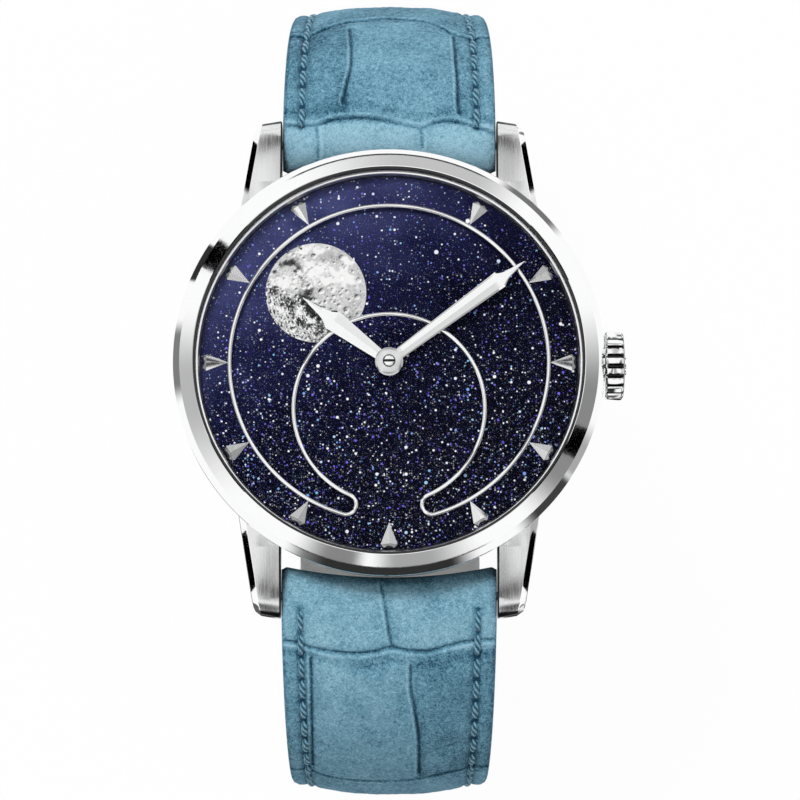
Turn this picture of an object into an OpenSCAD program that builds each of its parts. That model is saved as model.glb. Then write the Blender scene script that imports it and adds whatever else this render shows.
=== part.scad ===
/* [Case] */
// Radius of the middle case, under the bezel
case_r = 19.4; // [19.2:0.1:19.6]
// Largest radius of the bezel
bezel_r = 20; // [19.8:0.1:20.4]
// Height of the bezel
bezel_h = 1.45; // [1.35:0.05:1.6]
// Radius of the crystal
crystal_r = 17.9; // [17.7:0.1:18]
// Rise of the crystal's dome
crystal_dome = 1; // [0.8:0.1:1.4]
// Thickness of the crystal
crystal_t = 1; // [0.9:0.05:1.1]
// Height of the case back
back_t = 2; // [1.9:0.1:2.3]
// Radius of the case back's flange
back_r = 18.6; // [18.2:0.1:18.8]
// Radius of the window in the case back
window_r = 13.4; // [12.8:0.1:14]
// Thickness of the window in the case back
window_t = 1.2; // [1:0.1:1.3]
// Radius of the crown
crown_r = 3.2; // [2.9:0.1:3.4]
// Length of the crown
crown_l = 1.85; // [1.5:0.05:2]
// Number of flutes round the crown
crown_flutes = 20; // [16:1:24]
// Travel of the crown when it is pulled
crown_travel = 1.2; // [0.8:0.1:1.3]

/* [Lugs] */
// Distance between the tips of the lugs
lug_span = 46.8; // [46.6:0.1:47.4]
// Width of the strap that the lugs take
strap_w = 20; // [19.6:0.1:20.2]
// Width of a lug at its tip
lug_tip_w = 2.45; // [2.2:0.05:2.7]
// Width of a lug at its root
lug_root_w = 3.7; // [3.4:0.1:4]
// Width of the polished bevel along a lug
lug_bevel = 0.7; // [0.5:0.05:0.9]
// Distance of a spring bar from the middle of the case
bar_y = 21.3; // [21.3:0.05:21.6]
// Height of a spring bar over the case back
bar_z = 3.6; // [3.4:0.1:3.8]
// Radius of a spring bar's tube
bar_r = 0.75; // [0.65:0.05:0.85]
// Radius of a spring bar's pivot
pivot_r = 0.4; // [0.35:0.05:0.45]

/* [Movement] */
// Radius of the movement
movement_r = 13; // [12.9:0.1:13.3]
// Thickness of the rotor's rim
rotor_t = 0.7; // [0.6:0.05:0.8]
// Thickness of the bridges
bridge_t = 0.7; // [0.6:0.05:0.8]
// Height of the space that holds the wheels
train_h = 1.75; // [1.75:0.05:1.9]
// Thickness of the main plate
plate_t = 0.7; // [0.65:0.05:0.8]
// Height of the space for the motion work
works_h = 0.6; // [0.6:0.05:0.7]
// Thickness of the moon disc
disc_t = 0.15; // [0.14:0.01:0.2]
// Height of the moon over its disc
moon_t = 0.1; // [0.08:0.01:0.12]

/* [Dial] */
// Thickness of the dial
dial_t = 0.35; // [0.3:0.05:0.45]
// Radius of the dial that shows
dial_r = 17.45; // [17.4:0.05:17.55]
// Radius of the aperture's outer edge
aperture_r = 14.6; // [14.4:0.1:14.7]
// Radius of the inner arc that hides the moon
shade_r = 9.06; // [8.96:0.05:9.26]
// Distance of the inner arc's centre below the dial's centre
shade_drop = 4.3; // [4.2:0.1:4.6]
// Radius of the aperture's round ends
horn_r = 0.75; // [0.65:0.05:0.85]
// Width of the wire round the aperture
wire_w = 0.4; // [0.3:0.05:0.5]
// Height of the wire over the dial
wire_h = 0.18; // [0.12:0.02:0.24]
// Radius of the moon
moon_r = 4.67; // [4.4:0.05:4.8]
// Distance of the moon's centre from the dial's centre
moon_orbit = 9.5; // [9.4:0.05:9.6]
// Angle of the moon from 12 o'clock, anticlockwise
moon_angle = 45.7; // [30:0.1:60]
// Distance of the hour markers' inner tips from the centre
marker_in = 14.9; // [14.8:0.1:15.4]
// Width of an hour marker
marker_w = 1.58; // [1.3:0.05:1.8]
// Height of an hour marker
marker_h = 0.45; // [0.3:0.05:0.5]

/* [Hands] */
// Length of the hour hand
hour_l = 10; // [9:0.1:11]
// Widest width of the hour hand
hour_w = 2; // [1.7:0.05:2.3]
// Angle of the hour hand from 12 o'clock, anticlockwise
hour_angle = 53.1; // [0:0.1:360]
// Length of the minute hand
minute_l = 15.65; // [14.5:0.05:16]
// Widest width of the minute hand
minute_w = 1.65; // [1.4:0.05:1.9]
// Angle of the minute hand from 12 o'clock, clockwise
minute_angle = 53.3; // [0:0.1:360]
// Radius of the hands' round middles
boss_r = 1.29; // [1.2:0.01:1.35]
// Thickness of a hand
hand_t = 0.3; // [0.25:0.01:0.34]
// Radius of the cap that holds the hands
cap_r = 0.52; // [0.48:0.01:0.6]

/* [Strap] */
// Length of the strap's short piece, from spring bar to buckle bar
short_l = 73.5; // [71:0.5:75]
// Length of the strap's long piece, from spring bar to tip
long_l = 115; // [108:1:118]
// Distance from the watch's middle to the strap's steepest place
strap_reach = 36; // [35.5:0.1:37]
// Width of the strap at the buckle
tail_w = 18; // [17.6:0.1:18.2]
// Thickness of the strap over its padding
pad_t = 4.4; // [4.2:0.1:4.6]
// Thickness of the strap at the buckle
tail_t = 2.3; // [2.1:0.1:2.4]
// Thickness of the lining
lining_t = 0.9; // [0.8:0.05:1]
// Radius of the rounded end at the spring bar
end_r = 1.75; // [1.7:0.01:1.75]
// Radius of the bottom of the loop, on the short piece
loop_r = 20; // [19:0.5:20.5]
// Height left inside the keepers for the strap's tail
keeper_room = 2.7; // [2.6:0.1:3]
// Width of a keeper
keeper_w = 5; // [4.5:0.1:5.4]
// Thickness of the leather of a keeper
keeper_t = 0.8; // [0.7:0.1:1]
// Width of each punched hole
hole_w = 2; // [1.8:0.1:2.2]
// Distance between punched holes
hole_pitch = 6; // [5:0.5:7]

/* [Buckle] */
// Radius of the bar that joins the buckle to the strap
buckle_bar_r = 0.75; // [0.7:0.05:0.85]
// Length of the buckle from its bar to its outer edge
buckle_l = 11; // [10:0.5:12]
// Width of the metal of the buckle's frame
buckle_rim = 1.7; // [1.5:0.1:2]
// Thickness of the buckle's frame
buckle_t = 2; // [1.8:0.1:2.2]
// Width of the tongue
tongue_w = 1.8; // [1.6:0.1:2]
// Thickness of the tongue
tongue_t = 0.9; // [0.8:0.1:1]

/* [Hidden] */
$fn = 96;
// Smallest gap between pieces that move past each other
slack = 0.05;
// Gap at a turning shaft
run_gap = 0.02;
// Gap over and under a turning wheel
wheel_gap = 0.3;

// Heights, from the case back up to the dial and hands
z_rotor = back_t + 0.25;
z_bridge = z_rotor + rotor_t + wheel_gap;
z_train = z_bridge + bridge_t;
z_plate = z_train + train_h;
z_works = z_plate + plate_t;
z_disc = z_works + works_h;
z_dial = z_disc + disc_t + moon_t + 0.1;
dial_top = z_dial + dial_t;
z_hour = dial_top + 0.35;
z_minute = z_hour + hand_t + 0.15;
case_top = dial_top + 0.6;
flange_top = case_top + 0.55;
bezel_top = case_top + bezel_h;
stem_z = z_plate - 0.1;

// The case's inside
seat_z = 1;
neck_r = 17.15;
bore_r = 17.2;
dial_seat_r = 18.35;
dial_edge_r = dial_seat_r - slack;
flange_top_r = dial_r + 0.5;
gasket_w = 0.2;
tube_r = 0.9;
tube_bore_r = 0.62;
stem_r = 0.5;
crown_x = bezel_r + 0.05;

// Wheels and pinions: teeth, and tooth size as pitch diameter over teeth
barrel_teeth = 84;
barrel_m = 0.12;
centre_leaves = 12;
centre_teeth = 80;
centre_m = 0.1;
third_leaves = 10;
third_teeth = 75;
third_m = 0.09;
fourth_leaves = 10;
fourth_teeth = 80;
fourth_m = 0.08;
escape_leaves = 8;
escape_teeth = 18;
escape_r = 2;
cannon_leaves = 12;
minute_teeth = 36;
cannon_m = 0.13;
minute_leaves = 10;
hour_teeth = 40;
works_m = cannon_m * (cannon_leaves + minute_teeth) / (minute_leaves + hour_teeth);
day_teeth = 80;
star_teeth = 59;
star_r = 5.6;
crown_wheel_teeth = 29;
ratchet_teeth = 44;
winding_m = 0.2;
winding_leaves = 12;

function spacing(a, b, m) = (a + b) * m / 2;
function turn(r, a) = [r * cos(a), r * sin(a)];

// Places of the wheels, seen from the dial
barrel_angle = 67.5;
third_angle = 200;
fourth_angle = 300;
escape_angle = 350;
minute_angle_at = 40;
day_angle = 150;
barrel_at = turn(spacing(barrel_teeth, centre_leaves, barrel_m), barrel_angle);
third_at = turn(spacing(centre_teeth, third_leaves, centre_m), third_angle);
fourth_at = third_at + turn(spacing(third_teeth, fourth_leaves, third_m), fourth_angle);
escape_at = fourth_at + turn(spacing(fourth_teeth, escape_leaves, fourth_m), escape_angle);
pallet_at = escape_at + turn(escape_r * 1.3, 335);
balance_at = pallet_at + turn(2.6, 0);
minute_at = turn(spacing(cannon_leaves, minute_teeth, cannon_m), minute_angle_at);
day_at = turn(spacing(hour_teeth, day_teeth, works_m), day_angle);
winding_gap = spacing(crown_wheel_teeth, ratchet_teeth, winding_m);
crown_wheel_at = barrel_at + [sqrt(pow(winding_gap, 2) - pow(barrel_at[1], 2)), -barrel_at[1]];
winding_x = crown_wheel_at[0] + crown_wheel_teeth * winding_m / 2;

// Heights of the wheels
z_winding = z_train + 0.15;
winding_t = 0.25;
z_barrel = z_train + 0.75;
barrel_top = z_plate - 0.35;
z_centre = z_plate - 0.25;
z_third = z_plate - 0.8;
z_fourth = z_train + 0.35;
z_escape = z_train + 0.8;
z_balance = z_train + 0.35;
wheel_t = 0.15;

SILVER = [0.78, 0.79, 0.8];
STEEL = [0.6, 0.61, 0.63];
BRASS = [0.83, 0.68, 0.36];
NAVY = [0.07, 0.07, 0.2];
BLUE = [0.4, 0.66, 0.76];
PALE_BLUE = [0.62, 0.76, 0.82];
RUBY = [0.75, 0.08, 0.25];
DARK = [0.12, 0.12, 0.13];
CLEAR = [0.85, 0.92, 0.97, 0.35];

// Points of an arc
function arc(c, r, a0, a1, n) = [for (i = [0:n]) c + turn(r, a0 + (a1 - a0) * i / n)];

// Flat ring, from height z
module ring(r_out, r_in, z, h) {
    translate([0, 0, z])
        linear_extrude(h)
            difference() {
                circle(r_out);
                circle(r_in);
            }
}

// Upright rod, from height z
module rod(at, r, z, h) {
    translate([at[0], at[1], z])
        cylinder(r = r, h = h);
}

// Skin over a row of closed loops that all have as many points
module loft(loops) {
    n = len(loops[0]);
    last = len(loops) - 1;
    points = [for (loop = loops) for (p = loop) p];
    sides = [
        for (i = [0:last - 1])
            for (j = [0:n - 1])
                let (a = i * n + j, b = i * n + (j + 1) % n)
                    for (f = [[a, b, b + n], [a, b + n, a + n]]) f
    ];
    start = [for (j = [1:n - 2]) [0, j + 1, j]];
    end = [for (j = [1:n - 2]) [last * n, last * n + j, last * n + j + 1]];
    polyhedron(points = points, faces = concat(sides, start, end), convexity = 6);
}

// Outline of a toothed wheel, with the middle of a tooth on +X
function tooth_outline(n, m) = [
    for (i = [0:n - 1])
        for (p = [[-1.3, -0.3], [0.9, -0.12], [0.9, 0.12], [-1.3, 0.3]])
            turn(n * m / 2 + p[0] * m, (i + p[1]) * 360 / n)
];

// Turn of wheel b that puts its teeth between those of wheel a, which lies towards b at an angle
function mesh(angle, teeth_a, turn_a, teeth_b) =
    angle + 180 - (0.5 - (angle - turn_a) * teeth_a / 360) * 360 / teeth_b;

// Wheel with arms between its rim and its middle
module wheel(n, m, t, middle_r, arms, phase) {
    rim_r = n * m / 2 - 4 * m;
    linear_extrude(t)
        rotate(phase)
            difference() {
                polygon(tooth_outline(n, m));
                difference() {
                    circle(rim_r);
                    circle(middle_r);
                    for (i = [0:arms - 1])
                        rotate(i * 360 / arms)
                            translate([0, -0.2])
                                square([rim_r + m, 0.4]);
                }
            }
}

// Pinion with few, deep leaves
module pinion(n, m, t, phase) {
    linear_extrude(t)
        rotate(phase)
            polygon(tooth_outline(n, m));
}

// Middle case and lugs

// Side view of a lug: distance from the middle, and height
lug_side = [
    [13.5, case_top - 0.3],
    [16.2, case_top - 0.6],
    [18.4, case_top - 1.05],
    [20.4, case_top - 1.65],
    [22, case_top - 2.35],
    [lug_span / 2 - 0.3, case_top - 3.1],
    [lug_span / 2, case_top - 3.5],
    [lug_span / 2, case_top - 5.3],
    [lug_span / 2 - 0.35, case_top - 6],
    [lug_span / 2 - 1.3, case_top - 6.3],
    [19, case_top - 6.2],
    [13.5, case_top - 6.5]
];

// Distance of a lug's outer face from the middle
function lug_out(y) =
    strap_w / 2 + lug_root_w - (lug_root_w - lug_tip_w) * (y - 15.5) / (lug_span / 2 - 15.5);
// How much of the bevel is cut at a point of the side view: all at the top and tip, none below
function lug_cut(p) = p[1] > case_top - 4 ? lug_bevel : 0.05;

// One lug, on the right at 12 o'clock
module lug() {
    inner = strap_w / 2 + slack;
    loft([
        [for (p = lug_side) [inner, p[0], p[1]]],
        [for (p = lug_side) [lug_out(p[0]) - lug_bevel, p[0], p[1]]],
        [
            for (p = lug_side)
                [lug_out(p[0]), p[0] - lug_cut(p) * (p[0] > 22 ? 0.8 : 0), p[1] - lug_cut(p) * 0.8]
        ]
    ]);
}

module each_lug() {
    for (flip = [0, 1])
        mirror([flip, 0, 0])
            children();
    for (flip = [0, 1])
        mirror([0, 1, 0])
            mirror([flip, 0, 0])
                children();
}

module mid_case() {
    color(SILVER)
        difference() {
            union() {
                rotate_extrude()
                    polygon([
                        [bore_r - 1.5, seat_z], [case_r - 0.6, seat_z], [case_r - 0.1, seat_z + 0.6],
                        [case_r, seat_z + 1.6], [case_r, case_top], [bore_r - 1.5, case_top]
                    ]);
                each_lug() lug();
            }
            translate([0, 0, seat_z - 1])
                cylinder(r = bore_r, h = z_dial - seat_z + 1);
            translate([0, 0, z_dial])
                cylinder(r = dial_seat_r, h = case_top);
            along_x(bore_r - 1, bore_r + 3, tube_r, stem_z);
            // Blind holes for the spring bars' pivots
            for (side = [-1, 1])
                translate([0, side * bar_y, 0])
                    along_x(-pivot_end - 0.2, pivot_end + 0.2, pivot_r + run_gap, bar_z);
        }
}

module bezel() {
    color(SILVER)
        rotate_extrude()
            polygon(concat(
                [[dial_seat_r, case_top], [case_r + 0.2, case_top]],
                [[bezel_r - 0.12, case_top + 0.35]],
                arc([bezel_r - 0.75, bezel_top - 0.82], 0.75, 0, 80, 7),
                [[crystal_r + 0.4, bezel_top], [crystal_r + gasket_w, bezel_top - 0.07]],
                [[crystal_r + gasket_w, flange_top], [dial_seat_r, flange_top]]
            ));
}

// Outline of the crystal's dome at radius r, over its edge
function dome(r) = crystal_dome * (1 - pow(r / crystal_r, 2));

module crystal() {
    edge = bezel_top - 0.05;
    steps = [for (i = [0:8]) crystal_r * i / 8];
    color(CLEAR)
        rotate_extrude()
            polygon(concat(
                [for (r = steps) [r, edge + dome(r)]],
                [for (i = [8:-1:0]) [steps[i], edge - crystal_t + dome(steps[i]) * 0.95]]
            ));
}

module crystal_gasket() {
    color(DARK)
        ring(crystal_r + gasket_w, crystal_r, flange_top, bezel_top - 0.07 - flange_top);
}

module rehaut_ring() {
    color(STEEL)
        rotate_extrude()
            polygon([
                [dial_r, dial_top], [dial_seat_r, dial_top], [dial_seat_r, flange_top],
                [flange_top_r, flange_top], [dial_r + 0.1, dial_top + 0.2]
            ]);
}

// Dial, moon and hands

// Middle of the aperture's round ends, where both edges meet them
horn_y = (pow(shade_r + horn_r, 2) - pow(aperture_r - horn_r, 2) - pow(shade_drop, 2)) / (2 * shade_drop);
horn_x = sqrt(pow(aperture_r - horn_r, 2) - pow(horn_y, 2));

// Outline of the aperture, made wider all round by grow
function aperture(grow) =
    let (
        out = atan2(horn_y, horn_x),
        in = atan2(horn_y + shade_drop, horn_x),
        tip = horn_r + grow
    )
    concat(
        arc([0, 0], aperture_r + grow, out, 180 - out, 72),
        arc([-horn_x, horn_y], tip, 180 - out, 360 - in, 12),
        arc([0, -shade_drop], shade_r - grow, 180 - in, in, 56),
        arc([horn_x, horn_y], tip, 180 + in, 360 + out, 12)
    );

hour_pipe_r = 0.9;
cannon_r = 0.6;
hand_seat_r = 0.5;
arbor_r = 0.22;
dial_hole_r = hour_pipe_r + 0.15;

module dial_plate() {
    color(NAVY)
        translate([0, 0, z_dial])
            linear_extrude(dial_t)
                difference() {
                    circle(dial_edge_r);
                    polygon(aperture(0));
                    circle(dial_hole_r);
                }
}

module aperture_frame() {
    color(SILVER)
        translate([0, 0, dial_top])
            linear_extrude(wire_h)
                difference() {
                    polygon(aperture(wire_w));
                    polygon(aperture(0));
                }
}

// Faceted marker at 12 o'clock
module marker() {
    out = dial_r - 0.12;
    wide = out - 0.38;
    z = dial_top;
    polyhedron(
        points = [
            [0, marker_in, z], [marker_w / 2, wide, z], [marker_w * 0.3, out, z],
            [-marker_w * 0.3, out, z], [-marker_w / 2, wide, z], [0, wide, z + marker_h]
        ],
        faces = [[0, 1, 2, 3, 4], [1, 0, 5], [2, 1, 5], [3, 2, 5], [4, 3, 5], [0, 4, 5]]
    );
}

module hour_markers() {
    color(SILVER)
        for (hour = [1:11])
            rotate(-30 * hour)
                marker();
}

// Hand that points to 12 o'clock, with a ridge along it and a round middle
module hand(l, w, neck, shoulder, seat_r) {
    stations = [
        [boss_r * 0.5, neck / 2], [shoulder * l, w / 2], [(shoulder * 0.78 + 0.22) * l, w * 0.27],
        [(shoulder * 0.5 + 0.5) * l, w * 0.165], [(shoulder * 0.2 + 0.8) * l, w * 0.08], [l, 0.03]
    ];
    edge_t = hand_t * 0.45;
    difference() {
        union() {
            loft([
                for (s = stations)
                    [
                        [-s[1], s[0], 0], [s[1], s[0], 0], [s[1], s[0], edge_t],
                        [0, s[0], hand_t], [-s[1], s[0], edge_t]
                    ]
            ]);
            cylinder(r = boss_r, h = hand_t);
        }
        translate([0, 0, -slack])
            cylinder(r = seat_r, h = 2 * hand_t);
    }
}

module hour_hand() {
    color(SILVER)
        translate([0, 0, z_hour])
            rotate(hour_angle)
                hand(hour_l, hour_w, 0.9, 0.665, hour_pipe_r);
}

module minute_hand() {
    color(SILVER)
        translate([0, 0, z_minute])
            rotate(-minute_angle)
                hand(minute_l, minute_w, 1, 0.82, hand_seat_r);
}

module hand_cap() {
    color(SILVER)
        translate([0, 0, z_minute + hand_t])
            difference() {
                cylinder(r = cap_r, h = 0.18);
                translate([-cap_r * 0.9, -0.09, 0.08])
                    cube([cap_r * 1.8, 0.18, 0.2]);
            }
}

module cannon_pinion() {
    z = z_works + 0.02;
    color(STEEL)
        difference() {
            union() {
                translate([0, 0, z])
                    pinion(cannon_leaves, cannon_m, 0.2, 0);
                rod([0, 0], cannon_r, z, z_minute - z);
                rod([0, 0], hand_seat_r, z, z_minute + hand_t - z);
            }
            rod([0, 0], arbor_r + run_gap, z - 1, z_minute - z + 0.8);
        }
}

hour_turn = mesh(minute_angle_at + 180, minute_leaves, 0, hour_teeth);

module hour_wheel() {
    z = z_works + 0.25;
    color(BRASS)
        difference() {
            union() {
                translate([0, 0, z])
                    wheel(hour_teeth, works_m, wheel_t, 1.3, 5, hour_turn);
                rod([0, 0], hour_pipe_r, z, z_hour + hand_t - z);
            }
            rod([0, 0], cannon_r + run_gap, z - 1, z_minute - z + 2);
        }
}

post_r = 0.3;

module minute_wheel() {
    turned = mesh(minute_angle_at, cannon_leaves, 0, minute_teeth);
    color(BRASS)
        translate([minute_at[0], minute_at[1], z_works])
            difference() {
                union() {
                    translate([0, 0, 0.05])
                        wheel(minute_teeth, cannon_m, wheel_t, 0.8, 4, turned);
                    translate([0, 0, 0.19])
                        pinion(minute_leaves, works_m, 0.23, 0);
                }
                translate([0, 0, -1])
                    cylinder(r = post_r + run_gap, h = 3);
            }
}

finger_t = 0.12;
finger_r = norm(day_at) - star_r + 0.25;

module moon_finger_wheel() {
    color(BRASS)
        translate([day_at[0], day_at[1], z_works + 0.25])
            difference() {
                union() {
                    wheel(day_teeth, works_m, wheel_t, 1, 5,
                        mesh(day_angle, hour_teeth, hour_turn, day_teeth));
                    // Points away from the star until its hour comes
                    translate([0, 0, z_disc - z_works - 0.25 - finger_t])
                        linear_extrude(finger_t)
                            rotate(day_angle)
                                polygon([
                                    [0, -0.6], [finger_r - 0.3, -0.25], [finger_r, 0],
                                    [finger_r - 0.3, 0.25], [0, 0.6]
                                ]);
                    cylinder(r = 0.6, h = z_disc - z_works - 0.25);
                }
                translate([0, 0, -1])
                    cylinder(r = post_r + run_gap, h = 3);
            }
}

star_step = 360 / star_teeth;
star_depth = 0.35;
// A gap between two teeth faces the jumper, towards 6 o'clock
star_turn = 270 - (round(270 / star_step - 0.5) + 0.5) * star_step;

module moon_star() {
    color(BRASS)
        translate([0, 0, z_disc - finger_t])
            linear_extrude(finger_t)
                difference() {
                    rotate(star_turn)
                        polygon([
                            for (i = [0:star_teeth - 1])
                                for (p = [[star_r - star_depth, -0.5], [star_r, 0]])
                                    turn(p[0], (i + p[1]) * star_step)
                        ]);
                    circle(hour_pipe_r + slack);
                }
}

module moon_disc() {
    color(NAVY)
        ring(aperture_r + 0.7, hour_pipe_r + slack, z_disc, disc_t);
}

module moon() {
    at = turn(moon_orbit, 90 + moon_angle);
    color([0.7, 0.7, 0.69])
        rod(at, moon_r, z_disc + disc_t, moon_t);
}

jumper_post = turn(9.4, -66);

module moon_jumper() {
    beak = turn(star_r - star_depth + 0.08, -90);
    to_beak = beak - jumper_post;
    lever_angle = atan2(to_beak[1], to_beak[0]);
    color(STEEL)
        translate([0, 0, z_disc - finger_t])
            linear_extrude(finger_t)
                difference() {
                    polygon(concat(
                        arc(jumper_post, 0.9, lever_angle + 30, lever_angle + 330, 20),
                        [beak + [0.22, -0.45], beak, beak + [-0.22, -0.5], beak + [-0.1, -0.95]]
                    ));
                    translate(jumper_post)
                        circle(post_r + run_gap);
                }
}

// Case back, crown and spring bars

module case_back() {
    groove_r = neck_r + 0.35;
    color(SILVER)
        difference() {
            rotate_extrude()
                polygon([
                    [window_r, 0], [back_r - 0.6, 0], [back_r, 0.5], [back_r, seat_z], [neck_r, seat_z],
                    [neck_r, back_t], [neck_r - 1, back_t], [neck_r - 1, window_t + 0.3],
                    [window_r - 0.5, window_t + 0.3], [window_r - 0.5, window_t], [window_r, window_t]
                ]);
            ring(groove_r + 0.4, groove_r, seat_z - 0.3, 1);
            // Notches for the wrench that opens the back
            for (i = [0:5])
                rotate(i * 60)
                    translate([window_r + 1.6, -0.8, -0.1])
                        cube([1, 1.6, 0.4]);
        }
}

module case_back_window() {
    color(CLEAR)
        rod([0, 0], window_r, 0, window_t);
}

module case_back_gasket() {
    color(DARK)
        ring(neck_r + 0.75, neck_r + 0.35, seat_z - 0.3, 0.3);
}

module casing_ring() {
    outer = aperture_r + 1.1;
    edge = bore_r - run_gap;
    color(STEEL)
        difference() {
            rotate_extrude()
                polygon([
                    [movement_r + run_gap, z_bridge], [edge, z_bridge], [edge, z_dial],
                    [outer, z_dial], [outer, z_disc - 0.1], [movement_r + run_gap, z_disc - 0.1]
                ]);
            along_x(0, bore_r + 1, tube_bore_r, stem_z);
        }
}

// Rod along X at the crown's height, from x = a to b
module along_x(a, b, r, z) {
    translate([a, 0, z])
        rotate([0, 90, 0])
            cylinder(r = r, h = b - a);
}

module crown_tube() {
    color(STEEL)
        difference() {
            along_x(bore_r, crown_x + 0.35, tube_r, stem_z);
            along_x(bore_r - 1, crown_x + 1, tube_bore_r, stem_z);
        }
}

module crown() {
    flute_r = crown_r * 0.1;
    recess_r = tube_r + 0.35;
    color(SILVER)
        translate([crown_x, 0, stem_z])
            rotate([0, 90, 0])
                difference() {
                    union() {
                        rotate_extrude()
                            polygon(concat(
                                [[0, 0], [crown_r - 0.25, 0], [crown_r, 0.2], [crown_r, crown_l - 0.3]],
                                [
                                    for (i = [0:5])
                                        [(crown_r - 0.2) * cos(i * 15), crown_l - 0.25 + 0.25 * sin(i * 15)]
                                ],
                                [[0, crown_l]]
                            ));
                        cylinder(r = 0.85, h = crown_l + 0.15);
                    }
                    for (i = [0:crown_flutes - 1])
                        rotate(i * 360 / crown_flutes)
                            translate([crown_r + 0.05, 0, -0.1])
                                cylinder(r = flute_r * 0.75, h = crown_l - 0.1, $fn = 16);
                    translate([0, 0, -0.1])
                        cylinder(r = recess_r, h = 0.6);
                }
}

module winding_stem() {
    color(STEEL)
        union() {
            along_x(winding_x - 1.2, crown_x + 0.5, stem_r, stem_z);
            along_x(winding_x - 1.7, winding_x - 1.2, stem_r * 0.6, stem_z);
        }
}

module crown_gasket() {
    color(DARK)
        difference() {
            along_x(crown_x + 0.03, crown_x + 0.33, tube_r + 0.33, stem_z);
            along_x(crown_x - 1, crown_x + 1, tube_r + run_gap, stem_z);
        }
}

tube_half = strap_w / 2 - 0.7;
pivot_l = 2.6;
pivot_end = strap_w / 2 + 1.1;

// Tube of a spring bar, on the side of 12 o'clock
module bar_tube() {
    color(STEEL)
        translate([0, bar_y, 0])
            difference() {
                along_x(-tube_half, tube_half, bar_r, bar_z);
                for (side = [-1, 1])
                    translate([side * (tube_half - 2.5), 0, 0])
                        along_x(-2.5 - slack, 2.5 + slack, pivot_r + run_gap, bar_z);
            }
}

module spring_bar_12() {
    bar_tube();
}

module spring_bar_6() {
    mirror([0, 1, 0]) bar_tube();
}

// Sprung pivot of a spring bar: its end stands in the lug
module bar_pivot(side, end) {
    color(STEEL)
        translate([0, end * bar_y, 0])
            mirror([side < 0 ? 1 : 0, 0, 0])
                along_x(pivot_end - pivot_l, pivot_end, pivot_r, bar_z);
}

module bar_pivot_12_left() {
    bar_pivot(-1, 1);
}

module bar_pivot_12_right() {
    bar_pivot(1, 1);
}

module bar_pivot_6_left() {
    bar_pivot(-1, -1);
}

module bar_pivot_6_right() {
    bar_pivot(1, -1);
}

// Plates and bridges

jewel_r = 0.45;
jewel_t = 0.35;
pivot_hole_r = 0.12;
bridge_jewelled = [third_at, fourth_at, escape_at, balance_at];
jewelled = concat(bridge_jewelled, [pallet_at]);
barrel_pillars = [turn(11.6, 28), turn(11.6, 90), turn(11.6, 160)];
train_pillars = [turn(11.6, 200), turn(11.6, 250), turn(11.6, 280)];
cock_foot = turn(11.3, -20);
screw_r = 0.3;
screw_head_r = 0.6;
bridge_r = movement_r - 0.3;

module at_each(places) {
    for (p = places)
        translate([p[0], p[1], 0])
            children();
}

module main_plate() {
    color(BRASS)
        difference() {
            union() {
                rod([0, 0], movement_r, z_plate, plate_t);
                at_each([minute_at, day_at])
                    rod([0, 0], post_r, z_works, works_h - finger_t - slack);
                rod(jumper_post, post_r, z_works, works_h - slack);
                rod(jumper_post, 0.7, z_works, works_h - finger_t - slack);
            }
            rod([0, 0], arbor_r + run_gap, z_plate - 1, 3);
            rod(barrel_at, 0.5 + run_gap, z_plate - 1, 1.3);
            at_each(jewelled)
                rod([0, 0], jewel_r, z_plate - 1, 3);
            along_x(winding_x - 1.8, movement_r + 1, tube_bore_r, stem_z);
            translate([winding_x - 0.5, -1.3, z_plate - 1])
                cube([1.15, 2.6, 3]);
            at_each(concat(barrel_pillars, train_pillars, [cock_foot]))
                rod([0, 0], screw_r, z_plate - 1, 1.3);
        }
}

// Holes that every bridge has: jewels, screws and their heads
module bridge_holes(places) {
    at_each(bridge_jewelled)
        rod([0, 0], jewel_r, z_bridge - 1, 3);
    at_each(places) {
        rod([0, 0], screw_r, z_bridge - 1, 9);
        rod([0, 0], screw_head_r + slack, z_bridge - 1, 1.35);
    }
}

module pillars(places) {
    at_each(places)
        rod([0, 0], 0.85, z_train - slack, train_h + slack);
}

module barrel_bridge() {
    color(SILVER)
        difference() {
            union() {
                translate([0, 0, z_bridge])
                    linear_extrude(bridge_t)
                        intersection() {
                            difference() {
                                circle(bridge_r);
                                circle(1.7);
                            }
                            polygon([[-14, 1], [2.5, 1], [3.9, -2.2], [14, -2.2], [14, 14], [-14, 14]]);
                        }
                pillars(barrel_pillars);
            }
            bridge_holes(barrel_pillars);
            rod(barrel_at, 0.5 + run_gap, z_bridge + 0.3, 3);
            rod(crown_wheel_at, 0.4, z_bridge + 0.3, 3);
        }
}

module train_bridge() {
    color(SILVER)
        difference() {
            union() {
                translate([0, 0, z_bridge])
                    linear_extrude(bridge_t)
                        union() {
                            intersection() {
                                circle(bridge_r);
                                polygon([
                                    [-14, 0.8], [2.3, 0.8], [3.7, -2.4], [4.8, -5], [4.8, -14], [-14, -14]
                                ]);
                            }
                            circle(1.5);
                        }
                pillars(train_pillars);
                rod([0, 0], 0.9, z_rotor, z_bridge - z_rotor + slack);
            }
            bridge_holes(train_pillars);
            rod([0, 0], pivot_hole_r, z_train - 0.5, 1);
        }
}

module balance_cock() {
    arm = cock_foot - balance_at;
    color(SILVER)
        difference() {
            union() {
                translate([0, 0, z_bridge])
                    linear_extrude(bridge_t)
                        union() {
                            translate(balance_at)
                                circle(1.2);
                            translate(cock_foot)
                                circle(1.25);
                            translate(balance_at)
                                rotate(atan2(arm[1], arm[0]))
                                    translate([0, -0.8])
                                        square([norm(arm), 1.6]);
                        }
                rod(cock_foot, 1.1, z_train - slack, train_h + slack);
            }
            bridge_holes([cock_foot]);
        }
}

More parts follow.
